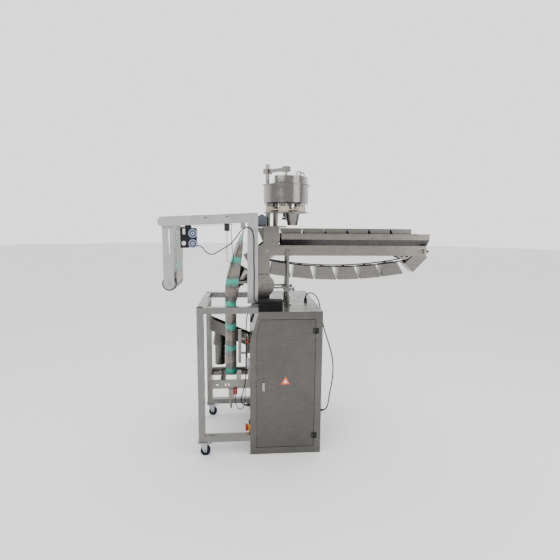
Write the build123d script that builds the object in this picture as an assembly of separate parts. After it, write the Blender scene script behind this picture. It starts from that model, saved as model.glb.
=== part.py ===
from build123d import *
import math
import os

# Vertical form fill sealer with a volumetric cup filler and an infeed bucket
# conveyor.  Millimetres.  Origin: centre of the cabinet's base, on the floor.
# +X runs towards the conveyor's tail, -X is the operator's side, +Z is up.

# ---- cabinet ----
cabinet_width = 460
cabinet_depth = 800
cabinet_height = 950
cabinet_wall = 2
bevel_start_height = 760
bevel_run = 55
door_side_margin = 40
door_hinge_margin = 46
door_bottom_margin = 48
door_top_margin = 52
door_slant_margin = 28
door_gap = 3
door_depth = 16
door_sheet = 2
door_stop_lip = 12
hinge_size = 36
hinge_low = 120
hinge_high = 825
hinge_proud = 9
hinge_pin_radius = 2.5
pin_clearance = 0.05
lock_height = 472
lock_inset = 45

# ---- operator controls on the front of the cabinet ----
control_y = -250
e_stop_height = 720
e_stop_radius = 20
start_radius = 11
button_stem_radius = 6
button_travel = 4
screen_width = 180
screen_length = 120
switch_height = 137
switch_plate_side = 66
switch_knob_radius = 20
gland_radius = 11
gland_length = 20
lid_gland_x = 165
lid_gland_y = -60
side_gland_y = -303
side_gland_z = 247

# ---- tube frame ahead of the cabinet ----
tube_side = 40
tube_wall = 2
frame_length = 330
frame_depth = 600
frame_bottom = 94
frame_top = 979

# ---- casters ----
wheel_radius = 31.5
wheel_width = 24
axle_radius = 4
caster_plate_side = 62
caster_plate_thickness = 4
caster_trail = 20
fork_gap = 1.5
fork_sheet = 3
swivel_radius = 18
kingpin_radius = 5

# ---- film support ----
line_y = -100
arm_inner_half = 138
arm_sheet = 6
arm_width = 68
arm_slot_length = 150
arm_slot_width = 8
beam_width = 30
beam_height = 59
beam_sheet = 3
beam_end = 805
beam_low_at_column = 1505
beam_droop = 3.0
column_width = 68
column_sheet = 3
column_flange = 38
column_top = 1558
roll_centre_x = -750
roll_centre_z = 1104
roll_radius = 47
roll_core_radius = 20
roll_shaft_radius = 8
film_width = 260
film_thickness = 0.6
film_gap = 0.3
sleeve_gap = 1.2
roller_radius = 15
roller_pin_radius = 6
exit_roller_x = -276

# ---- forming set ----
tube_x = -363
forming_radius = 36.5
forming_wall = 1.5
forming_low = 455
elbow_z = 1040
chute_angle = 50
chute_straight = 95
hood_radius = 55
hood_length = 85
film_close_z = 960
film_land_z = 1060
film_tube_low = 447

# ---- sealing set ----
jaw_z = 413
jaw_height = 36
jaw_thickness = 30
jaw_length = 180
jaw_open_gap = 80
jaw_closed_gap = 1
jaw_plate_sheet = 12
jaw_plate_height = 60
jaw_half_span = 118
guide_radius = 8
guide_half_span = 95
slide_clearance = 0.05
sealer_low = 520
sealer_high = 760
sealer_travel = 10
chute_width = 90
chute_wall = 2
channel_height = 90

# ---- infeed conveyor ----
conveyor_half_width = 60
panel_sheet = 2.5
panel_low = 1283
panel_high = 1352
lip_low = 1394
lip_high = 1433
lip_half_width = 100
panel_start = -176
lip_start = -22
conveyor_end = 987
sprocket_x = -115
sprocket_z = 1315
sprocket_pitch_radius = 60.75
sprocket_face = 4
chain_half_gap = 53.5
chain_width = 4
chain_half_height = 3
tail_distance = 949
chain_sag = 45
bucket_pitch = 152.4
bucket_base = 110
bucket_flare = 36
bucket_height = 86
bucket_standoff = 5
bucket_width = 96
bucket_sheet = 1.5
bucket_phase = 24.4
shaft_radius = 10
leg_sheet = 6
leg_width = 80
drum_x = -140
drum_radius = 76
support_rod_x = 24
support_rod_radius = 10

# ---- volumetric filler ----
filler_x = 24
filler_y = 10
filler_plate_radius = 155
filler_plate_z = 1568
filler_plate_thickness = 9
base_low = 1471
base_thickness = 9
bowl_radius = 157
bowl_rim_radius = 167
bowl_low = 1640
bowl_high = 1763
bowl_sheet = 2.5
spindle_radius = 12
cup_circle = 112
cup_radius = 38
cup_wall = 3
cup_count = 6
cup_travel = 12
cover_radius = 150
cover_cut = 86
cover_low = 1766
cover_high = 1815
post_radius = 14
post_top = 1922
arm_height = 38
arm_z = 1872
funnel_offset = 36
funnel_top_radius = 50
funnel_low_radius = 34
funnel_low = 1485
running_clearance = 0.05
skin_gap = 0.3

os.makedirs("parts", exist_ok=True)

half_width = cabinet_width / 2
half_depth = cabinet_depth / 2
front_x = -half_width
near_y = -half_depth


def block(x0, x1, y0, y1, z0, z1):
    """A box between two corners."""
    return Pos((x0 + x1) / 2, (y0 + y1) / 2, (z0 + z1) / 2) * Box(x1 - x0, y1 - y0, z1 - z0)


def rod(axis, centre, radius, length):
    """A cylinder centred on a point, along X, Y or Z."""
    turn = {"X": Rot(0, 90, 0), "Y": Rot(90, 0, 0), "Z": Rot(0, 0, 0)}[axis]
    return Pos(*centre) * turn * Cylinder(radius, length)


def slab(points, y0, y1):
    """A polygon of (x, z) points, extruded from y0 to y1."""
    face = make_face(Polyline(*[(x, y0, z) for x, z in points], close=True))
    return extrude(face, amount=y1 - y0, dir=(0, 1, 0))


def rail(points, x0, x1):
    """A polygon of (y, z) points, extruded from x0 to x1."""
    face = make_face(Polyline(*[(x0, y, z) for y, z in points], close=True))
    return extrude(face, amount=x1 - x0, dir=(1, 0, 0))


def square_tube(x0, x1, y0, y1, z0, z1, axis):
    """A square tube with its bore along one axis."""
    wall = {"X": (0, tube_wall, tube_wall), "Y": (tube_wall, 0, tube_wall),
            "Z": (tube_wall, tube_wall, 0)}[axis]
    bore = block(x0 + wall[0], x1 - wall[0], y0 + wall[1], y1 - wall[1], z0 + wall[2], z1 - wall[2])
    return block(x0, x1, y0, y1, z0, z1) - bore


def save(node, shape):
    """Write one node's STEP file."""
    export_step(shape, "parts/" + node + ".step")


# ---- cabinet shell, doors ----
bevel_height = cabinet_height - bevel_start_height
bevel_top_x = front_x + bevel_run


def bevel_x(z):
    """The x of the sloped front at a height."""
    return front_x + bevel_run * max(0, z - bevel_start_height) / bevel_height


def cabinet_outline(inset):
    """The cabinet's side profile, moved in by a wall."""
    slope = math.hypot(bevel_run, bevel_height)
    slant = inset * slope / bevel_height
    lift = inset * (slope - bevel_height) / bevel_run
    top = cabinet_height - inset
    return [(front_x + inset, inset), (half_width - inset, inset), (half_width - inset, top),
            (bevel_x(top) + slant, top), (front_x + inset, bevel_start_height - lift)]


def door_outline(grow):
    """The near door's profile, grown on every side."""
    left = front_x + door_side_margin - grow
    right = half_width - door_hinge_margin + grow
    low = door_bottom_margin - grow
    high = cabinet_height - door_top_margin + grow
    shift = door_slant_margin - grow * 1.04
    knee = bevel_start_height + bevel_height * (left - shift - front_x) / bevel_run
    return [(left, low), (right, low), (right, high), (bevel_x(high) + shift, high), (left, knee)]


cover_margin = 40
far_opening = (front_x + cover_margin, half_width - cover_margin, cover_margin, bevel_start_height)
shell = slab(cabinet_outline(0), near_y, half_depth)
shell -= slab(cabinet_outline(cabinet_wall), near_y + cabinet_wall, half_depth - cabinet_wall)
shell -= slab(door_outline(door_gap), near_y - 1, near_y + cabinet_wall + 1)
jamb_low = near_y + cabinet_wall
jamb_high = near_y + door_depth + skin_gap + door_sheet
shell += slab(door_outline(door_gap + door_sheet), jamb_low, jamb_high) - slab(
    door_outline(door_gap), jamb_low - 1, jamb_high + 1)
shell += slab(door_outline(door_gap + door_sheet), jamb_high - door_sheet, jamb_high) - slab(
    door_outline(-door_stop_lip), jamb_high - door_sheet - 1, jamb_high + 1)
shell -= block(far_opening[0], far_opening[1], half_depth - cabinet_wall - 1, half_depth + 1,
               far_opening[2], far_opening[3])
save("cabinet_shell", shell)

cover_lap = 15
far_cover = block(far_opening[0] - cover_lap, far_opening[1] + cover_lap, half_depth,
                  half_depth + door_sheet, far_opening[2] - cover_lap, far_opening[3] + cover_lap)
louvre_pitch = 26
for index in range(8):
    z = 480 + index * louvre_pitch
    far_cover -= block(-90, 90, half_depth - 1, half_depth + door_sheet + 1, z, z + 6)
for x in (far_opening[0] - cover_lap / 2, far_opening[1] + cover_lap / 2):
    for z in (far_opening[2], far_opening[3]):
        far_cover += rod("Y", (x, half_depth + door_sheet + 2, z), 6, 4)
save("far_cover", far_cover)

door_right = half_width - door_hinge_margin
hinge_x = door_right + door_gap / 2
hinge_y = near_y - hinge_proud / 2 - 1
leaf_sheet = 4
knuckle_radius = hinge_proud / 2
door = slab(door_outline(0), near_y, near_y + door_depth)
door -= slab(door_outline(-door_sheet), near_y + door_sheet, near_y + door_depth + 1)
frame_leaves = []
door_leaves = []
leaf_gap = 0.6
for z in (hinge_low, hinge_high):
    low = z - hinge_size / 2
    high = z + hinge_size / 2
    pin = rod("Z", (hinge_x, hinge_y, z), hinge_pin_radius, hinge_size)
    sleeve = rod("Z", (hinge_x, hinge_y, z), hinge_pin_radius + pin_clearance, hinge_size + 2)
    lower = rod("Z", (hinge_x, hinge_y, low + hinge_size / 4), knuckle_radius, hinge_size / 2)
    upper = rod("Z", (hinge_x, hinge_y, high - hinge_size / 4 + leaf_gap / 4),
                knuckle_radius, hinge_size / 2 - leaf_gap / 2)
    reach = knuckle_radius + 0.4
    leaf = block(hinge_x + reach, hinge_x + hinge_size / 2, near_y - leaf_sheet, near_y, low, high)
    tongue = block(hinge_x, hinge_x + reach, near_y - leaf_sheet, near_y - skin_gap, low, z)
    frame_leaves.append(leaf + tongue + lower + pin)
    flap = block(hinge_x - hinge_size / 2, hinge_x - reach, near_y - leaf_sheet, near_y, low, high)
    strap = block(hinge_x - reach, hinge_x, near_y - leaf_sheet, near_y - skin_gap, z + leaf_gap, high)
    door_leaves.append((flap + strap + upper) - sleeve)
save("hinge_frame_leaves", Compound(frame_leaves))
lock_x = front_x + door_side_margin + lock_inset
lock_plate = block(lock_x - 11, lock_x + 11, near_y - 3, near_y, lock_height - 45, lock_height + 45)
spindle_bore = rod("Y", (lock_x, near_y, lock_height), 5 + pin_clearance, 60)
door = (door + lock_plate) - spindle_bore
for leaf in door_leaves:
    door += leaf
save("near_door", door)
lever = block(lock_x - 7, lock_x + 7, near_y - 11, near_y - 3 - skin_gap, lock_height - 36, lock_height + 20)
lever += rod("Y", (lock_x, near_y - 3 + 12, lock_height), 5, 26)
save("door_lock_lever", lever)

# ---- inside the cabinet ----
plate_x = half_width - cabinet_wall - 30
units = block(plate_x, plate_x + 3, near_y + 120, half_depth - 120, 330, 840)
units += block(plate_x + 3, half_width - cabinet_wall, near_y + 140, near_y + 170, 340, 830)
units += block(plate_x + 3, half_width - cabinet_wall, half_depth - 170, half_depth - 140, 340, 830)
for index, width in enumerate((90, 70, 110, 60)):
    y = -230 + index * 120
    units += block(plate_x - 70, plate_x, y, y + width, 640, 760)
    units += block(plate_x - 50, plate_x, y, y + width, 430, 520)
save("electrical_units", units)
gearmotor = block(-60, 60, -170, -30, cabinet_wall, 150)
gearmotor += rod("Y", (0, 50, 90), 55, 160)
gearmotor += rod("Y", (0, 137, 90), 40, 16)
gearmotor += rod("X", (-80, -100, 110), 12, 50)
save("main_gearmotor", gearmotor)

# ---- operator controls ----
slope_angle = math.degrees(math.atan2(bevel_run, bevel_height))
slope_mid = ((front_x + bevel_top_x) / 2, 40, (bevel_start_height + cabinet_height) / 2)
on_slope = Pos(*slope_mid) * Rot(0, slope_angle, 0)
bezel = on_slope * Pos(-6, 0, 0) * Box(12, screen_width, screen_length)
bezel -= on_slope * Pos(-12, 0, 0) * Box(3, screen_width - 24, screen_length - 24)


def control_base(height, radius, y):
    """A button's ring and sleeve, with a bore for its stem."""
    ring = rod("X", (front_x - 4, y, height), radius, 8)
    bore = rod("X", (front_x - 4, y, height), button_stem_radius + running_clearance, 12)
    return ring - bore


start_y = control_y + 90
bezel += control_base(e_stop_height, e_stop_radius - 4, control_y)
bezel += control_base(e_stop_height, start_radius + 3, start_y)
gland_y = control_y - 60
gland_z = 300
for y in (gland_y, -gland_y):
    bezel += rod("X", (front_x - gland_length / 2, y, gland_z), gland_radius, gland_length)
bezel += rod("Z", (lid_gland_x, lid_gland_y, cabinet_height + gland_length / 2), gland_radius, gland_length)
bezel += rod("X", (half_width + gland_length / 2, side_gland_y, side_gland_z), gland_radius, gland_length)


def push_button(node, height, radius, y, depth):
    """A round head on a stem that slides in its base."""
    face = front_x - 8 - button_travel - skin_gap
    head = rod("X", (face - depth / 2, y, height), radius, depth)
    stem_end = front_x - 1 - button_travel
    stem = rod("X", ((face + stem_end) / 2, y, height), button_stem_radius, stem_end - face)
    save(node, head + stem)


push_button("e_stop_button", e_stop_height, e_stop_radius, control_y, 14)
push_button("start_button", e_stop_height, start_radius, start_y, 5)
switch_y = near_y + 100
switch_plate = block(front_x - 10, front_x, switch_y - switch_plate_side / 2,
                     switch_y + switch_plate_side / 2, switch_height - switch_plate_side * 0.6,
                     switch_height + switch_plate_side * 0.6)
switch_plate -= rod("X", (front_x - 6, switch_y, switch_height), 6 + running_clearance, 10)
save("operator_panel", Compound(bezel.solids() + switch_plate.solids()))
knob = rod("X", (front_x - 10 - skin_gap - 5, switch_y, switch_height), switch_knob_radius, 10)
knob += block(front_x - 32, front_x - 15, switch_y - 6, switch_y + 6, switch_height - 24, switch_height + 24)
knob += rod("X", (front_x - 6, switch_y, switch_height), 6, 9)
save("main_switch_knob", knob)
control_box = block(-172, -25, near_y + 12, near_y + 92, cabinet_height, cabinet_height + 66)
for x in (-150, -110, -70):
    control_box -= block(x, x + 4, near_y + 11, near_y + 14, cabinet_height + 10, cabinet_height + 56)
save("control_box", control_box)

# ---- tube frame ----
left_x = front_x - frame_length
frame_far_y = near_y + frame_depth
cross_right = bevel_x(frame_top - tube_side) - skin_gap
tubes = []
for y0 in (near_y, frame_far_y - tube_side):
    y1 = y0 + tube_side
    post = square_tube(left_x, left_x + tube_side, y0, y1, frame_bottom, frame_top, "Z")
    top = square_tube(left_x + tube_side, cross_right, y0, y1, frame_top - tube_side, frame_top, "X")
    low = square_tube(left_x + tube_side, front_x, y0, y1, frame_bottom, frame_bottom + tube_side, "X")
    tubes.append(post + top + low)
cross_y0 = near_y + tube_side
cross_y1 = frame_far_y - tube_side
for x in (left_x, cross_right - tube_side):
    tubes.append(square_tube(x, x + tube_side, cross_y0, cross_y1, frame_top - tube_side, frame_top, "Y"))
save("tube_frame", tubes[0] + tubes[1] + tubes[2] + tubes[3])

# ---- casters ----
post_x = left_x + tube_side / 2
wheel_x = post_x + caster_trail
plate_low = frame_bottom - caster_plate_thickness
fork_top = plate_low - 6
top_plates = []
for side, y in (("near", near_y + tube_side / 2), ("far", frame_far_y - tube_side / 2)):
    half_plate = caster_plate_side / 2
    top_plate = block(post_x - half_plate, post_x + half_plate, y - half_plate, y + half_plate,
                      plate_low, frame_bottom)
    top_plate += rod("Z", (post_x, y, plate_low - 7), kingpin_radius, 14)
    top_plates.append(top_plate)
    half_fork = wheel_width / 2 + fork_gap + fork_sheet
    crown = rod("Z", (post_x, y, fork_top + 2.8), swivel_radius, 5.6)
    crown += block(post_x - 14, wheel_x + 14, y - half_fork, y + half_fork, fork_top - 4, fork_top)
    crown -= rod("Z", (post_x, y, fork_top), kingpin_radius + pin_clearance, 60)
    cheek = slab([(post_x - 14, fork_top), (wheel_x + 14, fork_top), (wheel_x + 9, wheel_radius - 8),
                  (wheel_x - 9, wheel_radius - 8)], y - half_fork, y - half_fork + fork_sheet)
    other = Pos(0, 2 * half_fork - fork_sheet, 0) * cheek
    pivot = (wheel_x + 8, y, fork_top - 12)
    pivot_pin = rod("Y", pivot, 3, 2 * half_fork)
    fork = crown + cheek + other + pivot_pin
    fork -= rod("Y", (wheel_x, y, wheel_radius), axle_radius + pin_clearance, 80)
    save(side + "_caster_fork", fork)
    wheel = rod("Y", (wheel_x, y, wheel_radius), wheel_radius, wheel_width)
    wheel -= rod("Y", (wheel_x, y - wheel_width / 2, wheel_radius), wheel_radius - 9, 8)
    wheel -= rod("Y", (wheel_x, y + wheel_width / 2, wheel_radius), wheel_radius - 9, 8)
    wheel += rod("Y", (wheel_x, y, wheel_radius), 9, wheel_width)
    wheel += rod("Y", (wheel_x, y, wheel_radius), axle_radius, 2 * half_fork + 6)
    save(side + "_caster_wheel", wheel)
    pedal = rod("Y", pivot, 6, wheel_width - 2)
    pedal += block(pivot[0], pivot[0] + 34, y - 10, y + 10, pivot[2] + 1, pivot[2] + 5)
    pedal -= rod("Y", pivot, 3 + pin_clearance, 60)
    save(side + "_brake_pedal", pedal)
save("caster_plates", Compound(top_plates))

# ---- columns, beams and arms that carry the film ----
column_right = cross_right
column_left = column_right - column_width
beam_inner = arm_inner_half + arm_sheet
beam_outer = beam_inner + beam_width
droop = math.tan(math.radians(beam_droop))


def beam_low(x):
    """The height of the drooping beams' underside."""
    return beam_low_at_column - (column_right - x) * droop


def pair(shape_for):
    """The near and far copies of a piece, from a function of the side."""
    return Compound([shape_for(-1), shape_for(1)])


def span(side, inner, outer):
    """The y range of a layer at a distance from the film's line."""
    ends = (line_y + side * inner, line_y + side * outer)
    return min(ends), max(ends)


def column(side):
    """An angle column: a web outside its beam and a flange behind it."""
    y0, y1 = span(side, beam_outer, beam_outer + column_sheet)
    web = block(column_left, column_right, y0, y1, frame_top, column_top)
    y0, y1 = span(side, beam_outer - column_flange, beam_outer)
    return web + block(column_right - column_sheet, column_right, y0, y1, frame_top, column_top)


beam_right = column_right - column_sheet
beam_left = -beam_end
beam_chamfer = 15


def beam(side):
    """A channel beam, open towards the film, with a chamfered free end."""
    low_left = beam_low(beam_left)
    low_right = beam_low(beam_right)
    outline = [(beam_right, low_right), (beam_right, low_right + beam_height),
               (beam_left + beam_chamfer, beam_low(beam_left + beam_chamfer) + beam_height),
               (beam_left, low_left + beam_height - beam_chamfer), (beam_left, low_left + beam_chamfer),
               (beam_left + beam_chamfer, beam_low(beam_left + beam_chamfer))]
    pocket = [(beam_right + 1, low_right + beam_sheet),
              (beam_right + 1, low_right + beam_height - beam_sheet),
              (beam_left + 12, beam_low(beam_left + 12) + beam_height - beam_sheet),
              (beam_left + 12, beam_low(beam_left + 12) + beam_sheet)]
    shape = slab(outline, *span(side, beam_inner, beam_outer))
    shape -= slab(pocket, *span(side, beam_inner - 1, beam_outer - beam_sheet))
    for x in (-507, -368):
        z = beam_low(x) + beam_height * 0.7
        shape -= Pos(x, line_y + side * beam_outer, z) * Box(26, 20, 9)
    for x, share in ((roll_centre_x, 0.8), (roll_centre_x, 0.25), (column_left - 12, 0.5), (-640, 0.5)):
        z = beam_low(x) + beam_height * share
        shape += rod("Y", (x, line_y + side * (beam_outer + 2), z), 6.5, 4)
    return shape


arm_top = beam_low(roll_centre_x - arm_width / 2) + beam_height - beam_sheet - 2


def arm(side):
    """A slotted arm that hangs inside its beam and ends round its roll."""
    y0, y1 = span(side, arm_inner_half, beam_inner)
    shape = block(roll_centre_x - arm_width / 2, roll_centre_x + arm_width / 2, y0, y1,
                  roll_centre_z, arm_top)
    shape += rod("Y", (roll_centre_x, (y0 + y1) / 2, roll_centre_z), arm_width / 2, y1 - y0)
    slot_z = 1379
    shape -= block(roll_centre_x + 4, roll_centre_x + 4 + arm_slot_width, y0 - 1, y1 + 1,
                   slot_z - arm_slot_length / 2, slot_z + arm_slot_length / 2)
    shape -= rod("Y", (roll_centre_x, (y0 + y1) / 2, roll_centre_z),
                 roll_shaft_radius + running_clearance, 20)
    shape -= rod("Y", (entry_x, (y0 + y1) / 2, entry_z), roller_pin_radius + running_clearance, 20)
    return shape


strip_x = roll_centre_x + roll_radius + film_gap + film_thickness
turn_radius = roller_radius + film_gap
entry_x = strip_x + turn_radius
film_drop = 8
exit_z = beam_low(exit_roller_x) - film_drop - roller_radius
entry_z = beam_low(entry_x) - film_drop - roller_radius
save("columns", pair(column))


def hanger(side):
    """The exit roller's bracket, under the beam."""
    y0, y1 = span(side, arm_inner_half, beam_inner)
    low = exit_z - 14
    plate = block(exit_roller_x - 14, exit_roller_x + 14, y0, y1, low, beam_low(exit_roller_x) + 30)
    return plate - rod("Y", (exit_roller_x, (y0 + y1) / 2, exit_z),
                       roller_pin_radius + running_clearance, 20)


def entry_lobe(side):
    """A lobe on the arm for the entry roller's pin."""
    y0, y1 = span(side, arm_inner_half, beam_inner)
    return block(roll_centre_x + arm_width / 2, entry_x + 14, y0, y1, entry_z - 14, entry_z + 14)


save("film_beams", Compound([beam(-1), beam(1), hanger(-1), hanger(1)]))
save("film_arms", pair(lambda side: arm(side) + entry_lobe(side) - rod(
    "Y", (entry_x, line_y + side * arm_inner_half, entry_z), roller_pin_radius + running_clearance, 30)))

roller_length = 2 * arm_inner_half - 2
pin_length = 2 * beam_inner
for node, x, z in (("entry_roller", entry_x, entry_z), ("exit_roller", exit_roller_x, exit_z)):
    roller = rod("Y", (x, line_y, z), roller_radius, roller_length)
    roller += rod("Y", (x, line_y, z), roller_pin_radius, pin_length)
    for side in (-1, 1):
        roller -= Pos(x, line_y + side * roller_length / 2, z) * Pos(10, 0, 0) * Box(4, 2, 4)
    save(node, roller)
roll = rod("Y", (roll_centre_x, line_y, roll_centre_z), roll_radius, film_width)
core_end = film_width / 2
roll += rod("Y", (roll_centre_x, line_y, roll_centre_z), roll_core_radius + 8, film_width + 10)
roll += rod("Y", (roll_centre_x, line_y, roll_centre_z), roll_shaft_radius, 2 * beam_inner + 16)
for angle in (0, 120, 240):
    x = roll_centre_x + 20 * math.cos(math.radians(angle))
    z = roll_centre_z + 20 * math.sin(math.radians(angle))
    roll -= rod("Y", (x, line_y - core_end - 5, z), 3, 6)
save("film_roll", roll)

# ---- film: a flat strip, then a sleeve formed round the tube ----
half_film = film_width / 2
over_entry = entry_z + roller_radius + film_gap
over_exit = exit_z + roller_radius + film_gap
sleeve_radius = forming_radius + sleeve_gap
land_x = tube_x - sleeve_radius
fall_lean = math.atan2(exit_roller_x + turn_radius - land_x, exit_z - film_land_z)
sleeve_start_x = exit_roller_x + (turn_radius + film_thickness) * math.cos(fall_lean)
sleeve_start_z = exit_z - turn_radius * math.sin(fall_lean) - film_gap
strip = slab([(strip_x, roll_centre_z), (strip_x - film_thickness, roll_centre_z),
              (strip_x - film_thickness, entry_z), (strip_x, entry_z)],
             line_y - half_film, line_y + half_film)
wrap = rod("Y", (entry_x, line_y, entry_z), turn_radius + film_thickness, film_width)
wrap -= rod("Y", (entry_x, line_y, entry_z), turn_radius, film_width + 2)
corner = block(entry_x - 40, entry_x, line_y - 200, line_y + 200, entry_z, entry_z + 40)
flat = slab([(entry_x, over_entry), (exit_roller_x, over_exit), (exit_roller_x, over_exit + film_thickness),
             (entry_x, over_entry + film_thickness)], line_y - half_film, line_y + half_film)
exit_wrap = rod("Y", (exit_roller_x, line_y, exit_z), turn_radius + film_thickness, film_width)
exit_wrap -= rod("Y", (exit_roller_x, line_y, exit_z), turn_radius, film_width + 2)
exit_corner = block(exit_roller_x, exit_roller_x + 40, line_y - 200, line_y + 200, sleeve_start_z, exit_z + 40)
save("film_strip", strip + (wrap & corner) + flat + (exit_wrap & exit_corner))

sleeve_turn = 2 * math.pi * 0.985
section_points = 24


def sleeve_section(z, grow):
    """Film at one height: an arc of one length whose curl grows as it falls."""
    share = min(1, (sleeve_start_z - z) / (sleeve_start_z - film_close_z))
    curl = max(0.02, share ** 2) / sleeve_radius
    fall = min(1, (sleeve_start_z - z) / (sleeve_start_z - film_land_z))
    middle = sleeve_start_x + (land_x - sleeve_start_x) * fall
    radius = 1 / curl
    half_turn = sleeve_turn / 2 * sleeve_radius * curl
    points = []
    for index in range(section_points + 1):
        angle = half_turn * (2 * index / section_points - 1)
        x = middle + radius - (radius + grow) * math.cos(angle)
        points.append((x, line_y + (radius + grow) * math.sin(angle), z))
    return points


def sleeve_face(z):
    """The film's thin section as a face."""
    return make_face(Polyline(*(sleeve_section(z, 0) + sleeve_section(z, film_thickness)[::-1]), close=True))


fall_steps = 8
curl_steps = 4
heights = [sleeve_start_z + (film_land_z - sleeve_start_z) * i / fall_steps for i in range(fall_steps)]
heights += [film_land_z + (film_close_z - film_land_z) * i / curl_steps for i in range(curl_steps + 1)]
fall = loft([sleeve_face(z) for z in heights], ruled=True)
closed = loft([sleeve_face(film_close_z), sleeve_face(film_tube_low)], ruled=True)
save("film_sleeve", Compound([fall, closed]))

# ---- forming tube with its product chute ----
lean = math.radians(90 - chute_angle)
chute_dir = (math.sin(lean), 0, math.cos(lean))


def along_chute(distance):
    """A point on the chute's axis."""
    return (tube_x + chute_dir[0] * distance, line_y, elbow_z + chute_dir[2] * distance)


def chute_body(inset):
    """The tube, elbow, chute and hood, with the wall taken off the radius."""
    radius = forming_radius - inset
    low = forming_low - (1 if inset else 0)
    body = Pos(tube_x, line_y, (low + elbow_z) / 2) * Cylinder(radius, elbow_z - low)
    body += Pos(tube_x, line_y, elbow_z) * Sphere(radius)
    upright = Plane(origin=along_chute(chute_straight / 2), z_dir=chute_dir)
    body += upright * Cylinder(radius, chute_straight)
    hood_plane = Plane(origin=along_chute(chute_straight + hood_length / 2), z_dir=chute_dir)
    body += hood_plane * Cone(radius, hood_radius - inset, hood_length)
    if inset:
        mouth = Plane(origin=along_chute(chute_straight + hood_length), z_dir=chute_dir)
        body += mouth * Cylinder(hood_radius - inset, 4)
    return body


forming_tube = chute_body(0) - chute_body(forming_wall)
save("forming_tube", forming_tube)
# Bracket: a ring round the chute, and an arm on each side that reaches its column.
ring_point = along_chute(chute_straight - 12)
arm_low = ring_point[2] - 12
arm_x0 = column_left + 3
arm_x1 = column_left + 25
ring_plane = Plane(origin=ring_point, z_dir=chute_dir)
bracket = ring_plane * Cylinder(forming_radius + 10, 10)
for side in (-1, 1):
    y0, y1 = span(side, forming_radius + 8, forming_radius + 14)
    bracket += block(ring_point[0] - 9, arm_x1, y0, y1, arm_low, arm_low + 16)
    y0, y1 = span(side, forming_radius + 8, beam_outer)
    bracket += block(arm_x0, arm_x1, y0, y1, arm_low, arm_low + 16)
    y0, y1 = span(side, beam_outer - 6, beam_outer)
    bracket += block(arm_x0, arm_x1 + 14, y0, y1, arm_low - 14, arm_low + 44)
bracket -= ring_plane * Cylinder(forming_radius + running_clearance, 40)
save("chute_bracket", bracket)

# ---- coder, spools and sensor on the near beam ----
coder_right = -565
coder_mid = coder_right - 53
coder_left = coder_right - 104
coder_high = 1464
coder_low = 1338
plate_y = line_y - beam_outer + 12
coder = block(coder_left, coder_mid, plate_y, plate_y + 92, coder_low, coder_high)
coder += block(coder_mid, coder_right, plate_y, plate_y + 10, coder_low + 7, coder_high)
bracket_left = coder_mid - 20
coder += block(bracket_left, coder_mid + 20, plate_y, plate_y + 6, coder_high, beam_low(bracket_left))
coder += rod("Z", ((coder_left + coder_mid) / 2, plate_y - 8, coder_high - 22), 7, 34)
coder += block(coder_left + 15, coder_mid - 15, plate_y - 8, plate_y, coder_high - 45, coder_high - 5)
coder += rod("Y", (coder_mid - 28, plate_y - 4, coder_low + 30), 14, 8)
spool_x = coder_mid + 29
spool_heights = {"upper": 1430, "lower": 1366}
spool_pin = 5
for z in spool_heights.values():
    coder += rod("Y", (spool_x, plate_y - 10, z), spool_pin, 20)
save("coder_body", coder)
for name, z in spool_heights.items():
    spool = rod("Y", (spool_x, plate_y - 12, z), 28, 3) + rod("Y", (spool_x, plate_y - 7, z), 18, 12)
    spool += rod("Y", (spool_x, plate_y - 2, z), 28, 3)
    for angle in range(0, 360, 60):
        x = spool_x + 13 * math.cos(math.radians(angle))
        spool -= rod("Y", (x, plate_y - 13, z + 13 * math.sin(math.radians(angle))), 2.5, 8)
    save("coder_spool_" + name, spool - rod("Y", (spool_x, plate_y - 8, z), spool_pin + pin_clearance, 40))
sensor_x = -376
sensor_top = beam_low(sensor_x - 17)
sensor = block(sensor_x - 17, sensor_x + 17, plate_y, plate_y + 22, sensor_top - 48, sensor_top)
sensor += block(sensor_x - 10, sensor_x + 10, plate_y + 22, line_y - half_film + 20,
                sensor_top - 44, sensor_top - 34)
save("colour_mark_sensor", sensor)

# ---- vertical sealer, jaws, discharge chute, valve ----
sealer_face = tube_x + sleeve_radius + 3 + sealer_travel
sealer_rod = 8
carrier_x = -262
sealer = block(sealer_face, sealer_face + 22, line_y - 8, line_y + 8, sealer_low, sealer_high)
carrier = block(carrier_x, carrier_x + 16, line_y - 30, line_y + 30, sealer_low + 40, sealer_high - 40)
carrier += block(carrier_x + 16, front_x, line_y - 12, line_y + 12, sealer_low + 70, sealer_high - 70)
for z in (sealer_low + 70, sealer_high - 70):
    sealer += rod("X", ((sealer_face + 22 + carrier_x + 14) / 2, line_y, z), sealer_rod,
                  carrier_x + 14 - sealer_face - 22)
    carrier -= rod("X", (carrier_x + 8, line_y, z), sealer_rod + slide_clearance, 24 + 2 * sealer_travel)
save("vertical_sealer", sealer)

jaw_left = -517
jaw_right = front_x
jaw_low = jaw_z - jaw_plate_height / 2
jaw_high = jaw_z + jaw_plate_height / 2


def jaw_plate(side):
    """A side plate with its hole and slots."""
    y0, y1 = span(side, jaw_half_span, jaw_half_span + jaw_plate_sheet)
    plate = block(jaw_left, jaw_right, y0, y1, jaw_low, jaw_high)
    plate -= rod("Y", (jaw_left + 66, (y0 + y1) / 2, jaw_z - 6), 9, 20)
    for x in (-400, -378):
        plate -= block(x, x + 9, y0 - 1, y1 + 1, jaw_z - 18, jaw_z + 8)
    return plate


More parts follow.
